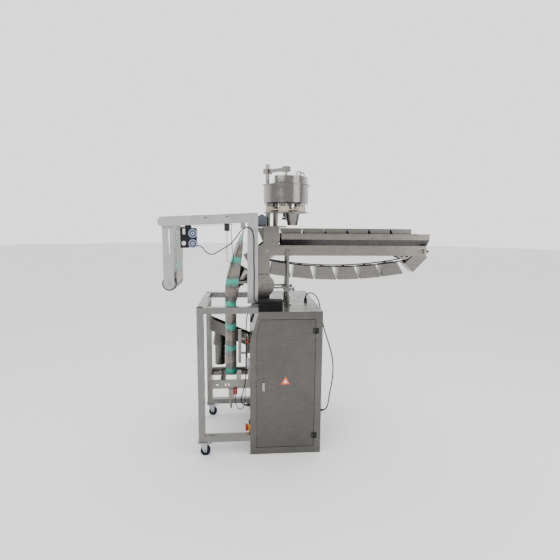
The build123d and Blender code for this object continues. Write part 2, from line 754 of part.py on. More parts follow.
jaw_frame = jaw_plate(-1) + jaw_plate(1)
end_plate = 14
jaw_frame += block(jaw_left, jaw_left + end_plate, line_y - jaw_half_span, line_y + jaw_half_span,
                   jaw_low + 8, jaw_high)
jaw_frame += block(jaw_right - end_plate, jaw_right, line_y - jaw_half_span, line_y + jaw_half_span,
                   jaw_low + 8, jaw_high)
for side in (-1, 1):
    jaw_frame += rod("X", ((jaw_left + jaw_right) / 2, line_y + side * guide_half_span, jaw_z),
                     guide_radius, jaw_right - jaw_left - 10)
pillar_y = line_y - jaw_half_span - jaw_plate_sheet / 2
jaw_frame += block(-376, -338, pillar_y - 12, pillar_y + 12, jaw_low - 70, jaw_low)
jaw_frame += rod("Z", (-360, pillar_y, jaw_low - 105), 7, 72)
terminal = block(-344, -316, pillar_y - 26, pillar_y - 6, jaw_low - 36, jaw_low + 4)
save("jaw_frame", Compound([jaw_frame + terminal, carrier]))


def jaw(side):
    """A sealing jaw on its two guide rods: -1 is the front one."""
    inner = tube_x + side * jaw_open_gap / 2
    outer = inner + side * jaw_thickness
    half = guide_half_span + 16
    shape = block(min(inner, outer), max(inner, outer), line_y - half, line_y + half,
                  jaw_z - jaw_height / 2, jaw_z + jaw_height / 2)
    face = block(min(inner, inner - side * 3), max(inner, inner - side * 3), line_y - 75, line_y + 75,
                 jaw_z - 12, jaw_z + 12)
    shape += face
    shape -= block(inner - 2.5, inner + 2.5, line_y - 75, line_y + 75, jaw_z - 2, jaw_z + 2)
    for rod_side in (-1, 1):
        shape -= rod("X", (inner, line_y + rod_side * guide_half_span, jaw_z),
                     guide_radius + slide_clearance, 90)
    return shape


save("front_jaw", jaw(-1))
save("rear_jaw", jaw(1))

channel_y0 = 40
channel_left = left_x + tube_side
channel_drop = math.tan(math.radians(24)) * (front_x - channel_left)


def channel_outline(inset):
    """The sloping discharge channel in side view."""
    low_left = 720
    return [(channel_left, low_left + inset), (front_x, low_left - channel_drop + inset),
            (front_x, low_left - channel_drop + channel_height + inset * 2),
            (channel_left, low_left + channel_height + inset * 2)]


channel = slab(channel_outline(0), channel_y0, channel_y0 + chute_width)
channel -= slab(channel_outline(chute_wall), channel_y0 + chute_wall, channel_y0 + chute_width - chute_wall)
drop_x = -452
drop_y = channel_y0 + chute_width / 2
drop_z = 720 - channel_drop * (drop_x + 46 - channel_left) / (front_x - channel_left)
drop_low = 452
skirt_low = drop_z - 65
drop = Pos(drop_x, drop_y, drop_z - 10) * Cone(52, 36, 110)
drop += rod("Z", (drop_x, drop_y, (skirt_low + drop_low) / 2), 38, skirt_low - drop_low)
drop -= slab(channel_outline(chute_wall / 4), channel_y0 - chute_width, channel_y0 + 2 * chute_width)
channel += drop
save("discharge_channel", channel)
valve_y = near_y + 110
valve_z = 585
valve = block(front_x - 32, front_x, valve_y - 14, valve_y + 14, valve_z - 26, valve_z + 26)
valve -= rod("Y", (front_x - 16, valve_y - 14, valve_z), 5 + pin_clearance, 24)
valve += rod("Z", (front_x - 16, valve_y, valve_z - 33), 7, 14)
save("air_valve", valve)
valve_lever = rod("Y", (front_x - 16, valve_y - 15.3, valve_z), 5, 22)
valve_lever += block(front_x - 22, front_x - 10, valve_y - 26, valve_y - 14 - skin_gap, valve_z - 8, valve_z + 44)
save("air_valve_lever", valve_lever)

# ---- conveyor side panels ----
for name, side in (("near", -1), ("far", 1)):
    inner = line_y + side * (conveyor_half_width - panel_sheet)
    outer = line_y + side * conveyor_half_width
    wide = line_y + side * lip_half_width
    wide_inner = line_y + side * (lip_half_width - panel_sheet)
    low_profile = [(inner, panel_low), (outer, panel_low), (outer, panel_high), (inner, panel_high)]
    high_profile = [(inner, panel_high), (outer, panel_high), (wide, lip_low), (wide, lip_high),
                    (wide_inner, lip_high), (wide_inner, lip_low + 1)]
    panel = rail(low_profile, panel_start, conveyor_end)
    panel += rail(high_profile, lip_start, conveyor_end)
    lip_cap = [(wide, lip_high), (wide, lip_high - panel_sheet), (wide + side * 10, lip_high - panel_sheet),
               (wide + side * 10, lip_high)]
    panel += rail(lip_cap, lip_start, conveyor_end)
    screw_y = outer + side * 9
    lug = block(conveyor_end - 24, conveyor_end - 6, min(outer, outer + side * 18),
                max(outer, outer + side * 18), sprocket_z - 14, sprocket_z + 14)
    lug += rod("X", (conveyor_end - 25, screw_y, sprocket_z), 4, 50)
    lug += rod("X", (conveyor_end + 4, screw_y, sprocket_z), 8, 12)
    for x in (-42, 90, 430, 790):
        for z in (panel_low + 12, panel_high - 14):
            panel += rod("Y", (x, outer + side * 2, z), 5, 4)
    for x in (sprocket_x, sprocket_x + tail_distance):
        panel -= rod("Y", (x, outer, sprocket_z), shaft_radius + running_clearance, 20)
    save("conveyor_" + name + "_panel", panel + lug)

# ---- chain loop: top run, two wraps and a hanging return ----
half_run = tail_distance / 2
sag_depth = chain_sag + sprocket_pitch_radius
sag_centre = (half_run ** 2 - (sag_depth - sprocket_pitch_radius) ** 2) / (
    2 * (sag_depth - sprocket_pitch_radius))
sag_radius = sag_centre + sag_depth
wrap_lean = math.atan2(half_run, sag_centre)
wrap_turn = math.pi - wrap_lean
tail_x = sprocket_x + tail_distance
middle_x = sprocket_x + half_run
wrap_length = sprocket_pitch_radius * wrap_turn
return_length = 2 * sag_radius * wrap_lean
loop_length = tail_distance + 2 * wrap_length + return_length
bucket_count = round(loop_length / bucket_pitch)
bucket_spacing = loop_length / bucket_count


def loop_point(distance):
    """Place and outward angle on the chain, from the head's top along the top run to the tail."""
    distance = distance % loop_length
    if distance < tail_distance:
        return sprocket_x + distance, sprocket_z + sprocket_pitch_radius, 90
    distance -= tail_distance
    if distance < wrap_length:
        angle = math.pi / 2 - distance / sprocket_pitch_radius
        return (tail_x + sprocket_pitch_radius * math.cos(angle),
                sprocket_z + sprocket_pitch_radius * math.sin(angle), math.degrees(angle))
    distance -= wrap_length
    if distance < return_length:
        angle = -math.pi / 2 + wrap_lean - distance / sag_radius
        return (middle_x + sag_radius * math.cos(angle),
                sprocket_z + sag_centre + sag_radius * math.sin(angle), math.degrees(angle))
    distance -= return_length
    angle = -math.pi / 2 - wrap_lean - distance / sprocket_pitch_radius
    return (sprocket_x + sprocket_pitch_radius * math.cos(angle),
            sprocket_z + sprocket_pitch_radius * math.sin(angle), math.degrees(angle))


def loop_face(grow, y):
    """The area inside the chain's line, grown outward."""
    radius = sprocket_pitch_radius + grow
    big = sag_radius + grow
    sag_mid = (middle_x, sprocket_z + sag_centre)

    def at(x, z, r, angle):
        return (x + r * math.cos(angle), y, z + r * math.sin(angle))

    low = -math.pi / 2
    head_top = at(sprocket_x, sprocket_z, radius, math.pi / 2)
    tail_top = at(tail_x, sprocket_z, radius, math.pi / 2)
    tail_low = at(*sag_mid, big, low + wrap_lean)
    head_low = at(*sag_mid, big, low - wrap_lean)
    edges = [Line(head_top, tail_top),
             ThreePointArc(tail_top, at(tail_x, sprocket_z, radius, wrap_lean / 2), tail_low),
             ThreePointArc(tail_low, at(*sag_mid, big, low), head_low),
             ThreePointArc(head_low, at(sprocket_x, sprocket_z, radius, math.pi - wrap_lean / 2), head_top)]
    return make_face(Wire(edges))


strands = []
for side in (-1, 1):
    y = line_y + side * chain_half_gap - chain_width / 2
    band = loop_face(chain_half_height, y) - loop_face(-chain_half_height, y)
    strands.append(extrude(band, amount=chain_width, dir=(0, 1, 0)))
save("conveyor_chain", Compound(strands))

half_base = bucket_base / 2


def bucket_outline(inset):
    """A bucket in side view: x along the chain towards the head, z outward."""
    low = bucket_standoff + inset
    high = bucket_standoff + bucket_height + inset
    flare = bucket_flare * (1 + inset / bucket_height)
    return [(half_base - inset, low), (half_base - inset, high), (-half_base - flare + inset, high),
            (-half_base + inset, low)]


blank = slab(bucket_outline(0), line_y - bucket_width / 2, line_y + bucket_width / 2)
blank -= slab(bucket_outline(bucket_sheet), line_y - bucket_width / 2 + bucket_sheet,
              line_y + bucket_width / 2 - bucket_sheet)
tab_reach = chain_half_gap + chain_width / 2
for side in (-1, 1):
    y0, y1 = span(side, bucket_width / 2 - 8, tab_reach)
    blank += block(-9, 9, y0, y1, chain_half_height, bucket_standoff)
buckets = []
for index in range(bucket_count):
    x, z, angle = loop_point(bucket_phase + index * bucket_spacing)
    buckets.append(Pos(x, 0, z) * Rot(0, 90 - angle, 0) * blank)
save("conveyor_buckets", Compound(buckets))

sprocket_body = sprocket_pitch_radius - chain_half_height - skin_gap
for name, x in (("head", sprocket_x), ("tail", tail_x)):
    shaft = rod("Y", (x, line_y, sprocket_z), shaft_radius, 2 * conveyor_half_width + 8)
    for side in (-1, 1):
        centre = (x, line_y + side * chain_half_gap, sprocket_z)
        wheel = rod("Y", centre, sprocket_body, sprocket_face)
        wheel += rod("Y", (x, line_y + side * (chain_half_gap - 12), sprocket_z), 20, 20)
        for turn in range(6):
            angle = math.radians(60 * turn)
            wheel -= rod("Y", (x + 38 * math.cos(angle), centre[1], sprocket_z + 38 * math.sin(angle)), 9, 10)
        shaft += wheel
    save("conveyor_" + name + "_shaft", shaft)

# ---- legs and support rods under the conveyor ----
leg_x0 = panel_start
leg_x1 = panel_start + leg_width


def leg(side):
    """A leg plate outside the panel, with a foot and a bore for the head shaft."""
    y0, y1 = span(side, conveyor_half_width, conveyor_half_width + leg_sheet)
    plate = block(leg_x0, leg_x1, y0, y1, cabinet_height, panel_high - 4)
    y0, y1 = span(side, conveyor_half_width, conveyor_half_width + 46)
    plate += block(leg_x0, leg_x1, y0, y1, cabinet_height, cabinet_height + 6)
    plate -= rod("Y", (sprocket_x, line_y + side * conveyor_half_width, sprocket_z),
                 shaft_radius + running_clearance, 30)
    if side < 0:
        cover_y = line_y - conveyor_half_width - leg_sheet
        drum = rod("Y", (drum_x, cover_y - 7, 1082), drum_radius, 14)
        plate += drum & block(leg_x0, 0, cover_y - 20, cover_y, 980, 1200)
        plate += rod("Y", (-148, cover_y - 16, 1082), 12, 6) - rod("Y", (-148, cover_y - 18, 1082), 7, 8)
    return plate


save("conveyor_legs", pair(leg))
rod_out = conveyor_half_width + 7 + support_rod_radius


def support(side):
    """A rod from the cabinet's lid to a clamp on the panel, with a sleeve and a tie bar."""
    y = line_y + side * rod_out
    y0, y1 = span(side, conveyor_half_width, rod_out + 14)
    shape = rod("Z", (support_rod_x, y, (cabinet_height + panel_low) / 2), support_rod_radius,
                panel_low - cabinet_height)
    shape += block(support_rod_x - 15, support_rod_x + 15, y0, y1, panel_low, panel_low + 34)
    shape += rod("Z", (support_rod_x, y, cabinet_height + 4), 26, 8)
    shape += rod("Z", (support_rod_x, y, cabinet_height + 34), 15, 60)
    shape += block(support_rod_x - 19, support_rod_x + 19, y - 17, y + 17, 1044, 1072)
    shape += rod("X", (support_rod_x + 28, y, 1058), 6, 22) + rod("X", (support_rod_x + 40, y, 1058), 13, 12)
    y0, y1 = span(side, conveyor_half_width, rod_out - support_rod_radius)
    bar_start = drum_x + drum_radius + skin_gap if side < 0 else leg_x1
    shape += block(bar_start, support_rod_x - 19, y0, y1, 1060, 1072)
    y0, y1 = span(side, conveyor_half_width, rod_out)
    return shape + block(support_rod_x - 30, support_rod_x - 19, y0, y1, 1050, 1072)


save("support_rods", pair(support))

# ---- filler base, bottom plate, funnel ----
plate_high = filler_plate_z + filler_plate_thickness
posts = [(-100, -60), (-100, 80), (-50, -90), (-50, 110)]
base_y0 = line_y - lip_half_width
base_y1 = 200
base_x1 = 10
filler_base = block(panel_start, base_x1, base_y0, base_y1, base_low, base_low + base_thickness)
for side in (-1, 1):
    y0, y1 = span(side, conveyor_half_width, lip_half_width)
    filler_base += block(-141, -38, y0, y1, panel_high - 4, base_low)
    y0, y1 = span(side, conveyor_half_width - panel_sheet, conveyor_half_width)
    filler_base += block(-141, -38, y0, y1, panel_high, base_low)
bottom = rod("Z", (filler_x, filler_y, filler_plate_z + filler_plate_thickness / 2),
             filler_plate_radius, filler_plate_thickness)
filler_base += bottom
for x, y in posts:
    filler_base += rod("Z", (x, y, (base_low + filler_plate_z) / 2 + 2), 11, filler_plate_z - base_low)
filler_base += rod("Z", (filler_x, filler_y, filler_plate_z - 12), spindle_radius + 10, 24)
filler_base -= rod("Z", (filler_x, filler_y, filler_plate_z), spindle_radius + running_clearance, 90)
funnel_x = filler_x + funnel_offset
outer_cone = Pos(funnel_x, line_y, (funnel_low + filler_plate_z) / 2) * Cone(
    funnel_low_radius, funnel_top_radius, filler_plate_z - funnel_low)
inner_cone = Pos(funnel_x, line_y, (funnel_low + filler_plate_z) / 2) * Cone(
    funnel_low_radius - 2, funnel_top_radius - 2, filler_plate_z - funnel_low)
outlet = rod("Z", (funnel_x, line_y, filler_plate_z), cup_radius - cup_wall - 1, 2 * filler_plate_thickness + 2)
filler_base -= outlet
lug = block(funnel_x - 12, funnel_x + 12, line_y - 62, line_y - 44, filler_plate_z - 6, filler_plate_z)
save("filler_base", filler_base + lug + (outer_cone - inner_cone))

# ---- turntable: spindle, bowl and upper cups; measuring cups slide under it ----
cup_low = plate_high + skin_gap
cup_height = 34
bowl = rod("Z", (filler_x, filler_y, (bowl_low + bowl_high) / 2), bowl_radius, bowl_high - bowl_low)
bowl += rod("Z", (filler_x, filler_y, bowl_high - 3), bowl_rim_radius, 6)
bowl += Pos(filler_x, filler_y, bowl_low - 5) * Cone(bowl_radius - 10, bowl_radius, 10)
bowl -= rod("Z", (filler_x, filler_y, (bowl_low + bowl_high) / 2 + 2), bowl_radius - bowl_sheet,
            bowl_high - bowl_low)
spindle_low = filler_plate_z - 46
bowl += rod("Z", (filler_x, filler_y, (spindle_low + bowl_low) / 2), spindle_radius, bowl_low - spindle_low)
bowl += rod("Z", (filler_x, filler_y, filler_plate_z - 36), 30, 14)
ring = rod("Z", (filler_x, filler_y, cup_low + 14), cup_circle + 26, 8)
ring -= rod("Z", (filler_x, filler_y, cup_low + 14), 60, 10)
for index in range(cup_count):
    angle = math.radians(360 * index / cup_count + 18)
    x = filler_x + cup_circle * math.cos(angle)
    y = filler_y + cup_circle * math.sin(angle)
    upper = rod("Z", (x, y, bowl_low - 20), cup_radius - cup_wall - 0.5, 30)
    bowl += upper
    bowl -= rod("Z", (x, y, bowl_low - 20), cup_radius - 2 * cup_wall - 0.5, 62)
    ring += rod("Z", (x, y, cup_low + cup_height / 2), cup_radius, cup_height)
for index in range(cup_count):
    angle = math.radians(360 * index / cup_count + 18)
    x = filler_x + cup_circle * math.cos(angle)
    y = filler_y + cup_circle * math.sin(angle)
    ring -= rod("Z", (x, y, cup_low + cup_height / 2), cup_radius - cup_wall, cup_height + 4)
save("filler_bowl", bowl)
save("measuring_cups", ring)

# ---- fixed cover on its post ----
cover = rod("Z", (filler_x, filler_y, (cover_low + cover_high) / 2), cover_radius, cover_high - cover_low)
cover &= block(filler_x - cover_cut, filler_x + cover_radius, filler_y - 200, filler_y + 200,
               cover_low, cover_high)
cover -= rod("Z", (filler_x, filler_y, (cover_low + cover_high) / 2 - 3), cover_radius - 3,
             cover_high - cover_low) & block(filler_x - cover_cut + 3, filler_x + 200, filler_y - 200,
                                             filler_y + 200, cover_low - 5, cover_high)
post_x = filler_x - 123
post_y = filler_y + 142
support_post = rod("Z", (post_x, post_y, (base_low + base_thickness + post_top) / 2), post_radius,
                   post_top - base_low - base_thickness)
arm_length = math.hypot(filler_x - post_x, filler_y - post_y)
arm_turn = math.degrees(math.atan2(filler_y - post_y, filler_x - post_x))
on_arm = Pos(post_x, post_y, arm_z) * Rot(0, 0, arm_turn)
support_post += on_arm * Pos(arm_length / 2, 0, 0) * Box(arm_length, 24, 24)
support_post += on_arm * Box(46, 46, arm_height)
support_post += on_arm * Pos(arm_length, 0, 0) * Box(42, 42, arm_height)
support_post += rod("Z", (filler_x, filler_y, (cover_high + arm_z) / 2), 9, arm_z - cover_high)
save("cover_post", support_post)
handle_half = 16
for x, y in ((filler_x + 84, filler_y - 50), (filler_x + 112, filler_y + 10)):
    loop = Pos(x, y, cover_high + 22) * Rot(90, 0, 35) * Torus(handle_half, 4)
    cover += loop
    cover += rod("Z", (x, y, cover_high + 3), 5, 8)
save("filler_cover", cover)
drive = block(-172, -118, -40, 50, base_low + base_thickness, base_low + base_thickness + 70)
drive += rod("Y", (-145, -85, base_low + base_thickness + 36), 32, 90)
drive += rod("Z", (-145, 10, base_low + base_thickness + 74), 14, 10)
save("filler_gearmotor", drive)

# ---- cords: straight runs joined by tangent arcs ----


def cord(node, points, diameter):
    """A cable's tube along its route, each arc as large as its runs allow."""
    radii = []
    for before, at, after in zip(points, points[1:], points[2:]):
        run_in = Vector(*at) - Vector(*before)
        run_out = Vector(*after) - Vector(*at)
        half_turn = math.radians(run_in.get_angle(run_out)) / 2
        radii.append(0.45 * min(run_in.length, run_out.length) / math.tan(half_turn))
    path = FilletPolyline(*points, radius=radii)
    section = Plane(origin=path @ 0, z_dir=path % 0) * Circle(diameter / 2)
    tube = sweep(section, path=path)
    expected = math.pi * diameter ** 2 / 4 * path.length
    print(node, "length", round(path.length), "volume share", round(tube.volume / expected, 3),
          "radii", [round(radius) for radius in radii])
    save(node, tube)


coder_y = plate_y + 5
hang_y = line_y - beam_outer - 17
cord("coder_cable", [
    (coder_right, coder_y, 1352), (-541, coder_y, 1352), (-520, -262, 1325), (-498, -266, 1303),
    (-470, -269, 1297),
    (-438, -271, 1311), (-409, -273, 1331), (-370, -276, 1352), (-340, -280, 1378), (-316, -284, 1408),
    (-296, -287, 1438), (-272, -290, 1463), (-242, hang_y, 1473), (-217, hang_y, 1459),
    (-207, -290, 1423), (-204, -292, 1362), (-206, -290, 1275), (-202, -292, 1185), (-204, -293, 1105),
    (-203, -296, 1060), (-205, -310, 1030), (-203, -322, 1008), (-190, -328, 996), (-172, -328, 995)], 7)
front_hang = front_x - 24
cord("front_cable", [
    (-172, -351, 996), (-197, -351, 996), (-222, -350, 986), (-240, -349, 962), (-248, -349, 925),
    (front_hang, -350, 870), (-256, -347, 790), (-253, -349, 700), (front_hang, -346, 610),
    (-257, -343, 525), (-264, -336, 455), (-276, -325, 400), (-287, -316, 360), (-290, gland_y, 324),
    (-275, gland_y, gland_z), (front_x - gland_length, gland_y, gland_z)], 7)
cord("side_cable", [
    (lid_gland_x, lid_gland_y, cabinet_height + gland_length), (lid_gland_x, lid_gland_y, 992), (184, -68, 1014),
    (216, -80, 1012), (242, -98, 985), (254, -126, 945), (258, -168, 900), (260, -212, 845),
    (272, -250, 780), (296, -276, 705), (318, -292, 625), (326, -301, 540), (320, -305, 450),
    (305, -306, 370), (300, -305, 325), (297, -305, 297), (289, -304, 266), (274, side_gland_y, side_gland_z),
    (half_width + gland_length, side_gland_y, side_gland_z)], 8)
cord("sensor_cable", [
    (sensor_x, -254, sensor_top - 48), (sensor_x, -254, 1410), (-377, -252, 1360), (-378, -254, 1310),
    (-377, -253, 1274), (-372, -253, 1252), (-361, -254, 1242), (-348, -254, 1242), (-338, -254, 1250),
    (-335, -255, 1272), (-338, -254, 1304), (-345, -253, 1345), (-346, -255, 1392), (-350, -253, 1442),
    (-348, -255, beam_low(-352))], 4)
cable_y = pillar_y - 16
cord("heater_cable", [
    (-330, cable_y, jaw_low - 36), (-330, cable_y, 318), (-329, cable_y, 282), (-318, cable_y, 252),
    (-299, cable_y - 1, 237), (-280, cable_y, 243), (-268, cable_y, 270), (-265, cable_y + 6, 312),
    (-262, pillar_y, 346), (-262, pillar_y, jaw_low)], 5)
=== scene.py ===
import math
import bpy
import numpy as np
from mathutils import Matrix, Vector


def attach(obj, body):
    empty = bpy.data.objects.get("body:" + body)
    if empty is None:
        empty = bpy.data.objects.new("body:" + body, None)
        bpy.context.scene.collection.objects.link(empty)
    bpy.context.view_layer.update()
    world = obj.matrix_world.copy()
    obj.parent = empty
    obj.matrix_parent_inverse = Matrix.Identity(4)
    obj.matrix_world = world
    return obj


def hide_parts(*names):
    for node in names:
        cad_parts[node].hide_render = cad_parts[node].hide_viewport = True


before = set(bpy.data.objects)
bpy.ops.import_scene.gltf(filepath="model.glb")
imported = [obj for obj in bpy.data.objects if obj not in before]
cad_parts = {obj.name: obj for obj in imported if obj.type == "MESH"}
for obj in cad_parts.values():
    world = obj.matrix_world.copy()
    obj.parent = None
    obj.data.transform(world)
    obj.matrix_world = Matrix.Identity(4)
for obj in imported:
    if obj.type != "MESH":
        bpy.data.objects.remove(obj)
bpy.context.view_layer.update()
MM = 0.001

# ---------------------------------------------------------------- materials
def nodes_of(material):
    """The shader tree of a new material, with its Principled BSDF."""
    material.use_nodes = True
    tree = material.node_tree
    return tree, tree.nodes["Principled BSDF"]


def new_group(name, inputs, outputs):
    """An empty shader group with float or colour sockets."""
    group = bpy.data.node_groups.new(name, "ShaderNodeTree")
    for socket, kind, value in inputs:
        item = group.interface.new_socket(name=socket, in_out="INPUT", socket_type=kind)
        item.default_value = value
    for socket, kind in outputs:
        group.interface.new_socket(name=socket, in_out="OUTPUT", socket_type=kind)
    return group, group.nodes.new("NodeGroupInput"), group.nodes.new("NodeGroupOutput")


COLOUR = "NodeSocketColor"
NUMBER = "NodeSocketFloat"
VECTOR = "NodeSocketVector"


def feed(tree, socket, value):
    """Gives a socket an output to follow or a fixed value; a colour's three numbers get an alpha of 1."""
    if isinstance(value, bpy.types.NodeSocket):
        tree.links.new(value, socket)
    elif socket.type == "RGBA":
        socket.default_value = (*value, 1)
    else:
        socket.default_value = value


def noise_node(tree, vector, scale, detail=4.0):
    """A noise texture on a vector output."""
    node = tree.nodes.new("ShaderNodeTexNoise")
    node.inputs["Detail"].default_value = detail
    feed(tree, node.inputs["Scale"], scale)
    feed(tree, node.inputs["Vector"], vector)
    return node.outputs["Fac"]


def remap(tree, value, low, high, new_low, new_high):
    """A linear change of a value from one range to another, held at its ends."""
    node = tree.nodes.new("ShaderNodeMapRange")
    feed(tree, node.inputs["Value"], value)
    for socket, number in zip(("From Min", "From Max", "To Min", "To Max"), (low, high, new_low, new_high)):
        node.inputs[socket].default_value = number
    return node.outputs["Result"]


def calc(tree, operation, first, second=0.0):
    """A Math node on outputs or numbers."""
    node = tree.nodes.new("ShaderNodeMath")
    node.operation = operation
    feed(tree, node.inputs[0], first)
    feed(tree, node.inputs[1], second)
    return node.outputs[0]


def blend_colour(tree, factor, first, second):
    """A mix of two colours; each is an output or three numbers."""
    node = tree.nodes.new("ShaderNodeMix")
    node.data_type = "RGBA"
    for index, value in ((0, factor), (6, first), (7, second)):
        feed(tree, node.inputs[index], value)
    return node.outputs[2]


def make_brushing():
    """Sheet metal: fine streaks along one direction, mill clouds and handling smudges."""
    group, source, sink = new_group(
        "brushing",
        [("Position", VECTOR, (0, 0, 0)), ("Light", COLOUR, (0.6, 0.6, 0.6, 1)),
         ("Dark", COLOUR, (0.4, 0.4, 0.4, 1)), ("Stretch", VECTOR, (1, 1, 1)), ("Roughness", NUMBER, 0.3)],
        [("Colour", COLOUR), ("Roughness", NUMBER), ("Height", NUMBER)])
    given = source.outputs
    scaled = group.nodes.new("ShaderNodeVectorMath")
    scaled.operation = "MULTIPLY"
    feed(group, scaled.inputs[0], given["Position"])
    feed(group, scaled.inputs[1], given["Stretch"])
    streak = noise_node(group, scaled.outputs[0], 1.0, 6.0)
    cloud = noise_node(group, given["Position"], 3.2, 3.0)
    smudge = noise_node(group, given["Position"], 17.0, 5.0)
    clouded = remap(group, cloud, 0.3, 0.7, 0.0, 0.35)
    tone = calc(group, "ADD", remap(group, streak, 0.3, 0.7, -0.1, 0.7), clouded)
    rough = calc(group, "ADD", given["Roughness"], remap(group, smudge, 0.35, 0.75, -0.05, 0.12))
    rough = calc(group, "ADD", rough, remap(group, streak, 0.3, 0.7, -0.05, 0.05))
    feed(group, sink.inputs["Colour"], blend_colour(group, tone, given["Light"], given["Dark"]))
    feed(group, sink.inputs["Roughness"], rough)
    feed(group, sink.inputs["Height"], streak)
    return group


def make_moulding():
    """Plastic, paint or rubber: a soft mottle, dust in the hollows of a fine grain."""
    group, source, sink = new_group(
        "moulding",
        [("Position", VECTOR, (0, 0, 0)), ("Base", COLOUR, (0.1, 0.1, 0.1, 1)),
         ("Dust", COLOUR, (0.3, 0.3, 0.3, 1)), ("Grain", NUMBER, 400.0), ("Roughness", NUMBER, 0.5)],
        [("Colour", COLOUR), ("Roughness", NUMBER), ("Height", NUMBER)])
    given = source.outputs
    grain = noise_node(group, given["Position"], given["Grain"], 3.0)
    patch = noise_node(group, given["Position"], 9.0, 5.0)
    dusty = remap(group, patch, 0.45, 0.85, 0.0, 0.35)
    rough = calc(group, "ADD", given["Roughness"], remap(group, patch, 0.3, 0.8, -0.06, 0.14))
    feed(group, sink.inputs["Colour"], blend_colour(group, dusty, given["Base"], given["Dust"]))
    feed(group, sink.inputs["Roughness"], rough)
    feed(group, sink.inputs["Height"], grain)
    return group


BRUSHING = make_brushing()
MOULDING = make_moulding()
GRAIN_DEPTH = 0.4 * MM
# How fine the streaks are along x, y and z: low along the way the sheet was brushed.
ALONG_X = (14.0, 900.0, 900.0)
ALONG_Y = (900.0, 14.0, 900.0)
ALONG_Z = (900.0, 900.0, 14.0)
ROUND_Z = (60.0, 60.0, 1500.0)
# Specular levels of dark plastics.
DULL = 0.22
SATIN = 0.25
COAL = (0.006, 0.006, 0.007)


def add_relief(tree, shader, height, strength, distance):
    """A Bump node on the shader's normal, its distance in metres."""
    relief = tree.nodes.new("ShaderNodeBump")
    relief.inputs["Strength"].default_value = strength
    relief.inputs["Distance"].default_value = distance
    tree.links.new(height, relief.inputs["Height"])
    tree.links.new(relief.outputs["Normal"], shader.inputs["Normal"])


def finish_material(name, group, values, metallic, bump, coat=0.0, specular=0.5):
    """A material that takes its colour, roughness and height from one group."""
    material = bpy.data.materials.new(name)
    tree, shader = nodes_of(material)
    coords = tree.nodes.new("ShaderNodeTexCoord")
    node = tree.nodes.new("ShaderNodeGroup")
    node.node_tree = group
    feed(tree, node.inputs["Position"], coords.outputs["Object"])
    for socket, value in values.items():
        feed(tree, node.inputs[socket], value)
    feed(tree, shader.inputs["Base Color"], node.outputs["Colour"])
    feed(tree, shader.inputs["Roughness"], node.outputs["Roughness"])
    add_relief(tree, shader, node.outputs["Height"], bump, GRAIN_DEPTH)
    shader.inputs["Metallic"].default_value = metallic
    shader.inputs["Coat Weight"].default_value = coat
    shader.inputs["Specular IOR Level"].default_value = specular
    return material


def sheet_metal(name, light, dark, stretch, roughness, bump=0.12):
    """Brushed metal between two greys."""
    values = {"Light": light, "Dark": dark, "Stretch": stretch, "Roughness": roughness}
    return finish_material(name, BRUSHING, values, 1.0, bump)


def moulded(name, base, dust, roughness, grain=420.0, bump=0.1, coat=0.0, specular=0.5):
    """Plastic, paint or rubber."""
    values = {"Base": base, "Dust": dust, "Grain": grain, "Roughness": roughness}
    return finish_material(name, MOULDING, values, 0.0, bump, coat, specular)


def object_place(material):
    """A finished material's shader tree, its Principled BSDF and the X, Y and Z of its Object coordinates."""
    tree = material.node_tree
    coords = next(node for node in tree.nodes if node.type == "TEX_COORD")
    parts = tree.nodes.new("ShaderNodeSeparateXYZ")
    feed(tree, parts.inputs[0], coords.outputs["Object"])
    return tree, tree.nodes["Principled BSDF"], parts.outputs


def add_zones(material, zones, painted=True):
    """Other colours inside boxes of the object: each zone is a low corner, a high corner and a colour, in
    millimetres.  A painted zone on metal isn't metallic."""
    tree, shader, place = object_place(material)
    colour = shader.inputs["Base Color"].links[0].from_socket
    metal = shader.inputs["Metallic"]
    for low, high, paint in zones:
        inside = 1.0
        for axis in range(3):
            above = calc(tree, "GREATER_THAN", place[axis], low[axis] * MM)
            below = calc(tree, "LESS_THAN", place[axis], high[axis] * MM)
            inside = calc(tree, "MULTIPLY", inside, calc(tree, "MULTIPLY", above, below))
        colour = blend_colour(tree, inside, colour, paint)
        if painted and metal.default_value > 0:
            bare = metal.links[0].from_socket if metal.links else metal.default_value
            feed(tree, metal, calc(tree, "MULTIPLY", calc(tree, "SUBTRACT", 1.0, inside), bare))
    feed(tree, shader.inputs["Base Color"], colour)
    return material


def add_rings(material, centre, rings):
    """Rings round an axis along y through centre (x, z): each is a radius and the colour inside it, largest
    first, in millimetres."""
    tree, shader, place = object_place(material)
    across = calc(tree, "SUBTRACT", place["X"], centre[0] * MM)
    up = calc(tree, "SUBTRACT", place["Z"], centre[1] * MM)
    squares = [calc(tree, "MULTIPLY", offset, offset) for offset in (across, up)]
    distance = calc(tree, "SQRT", calc(tree, "ADD", *squares))
    colour = shader.inputs["Base Color"].links[0].from_socket
    for radius, paint in rings:
        colour = blend_colour(tree, calc(tree, "LESS_THAN", distance, radius * MM), colour, paint)
    feed(tree, shader.inputs["Base Color"], colour)
    return material


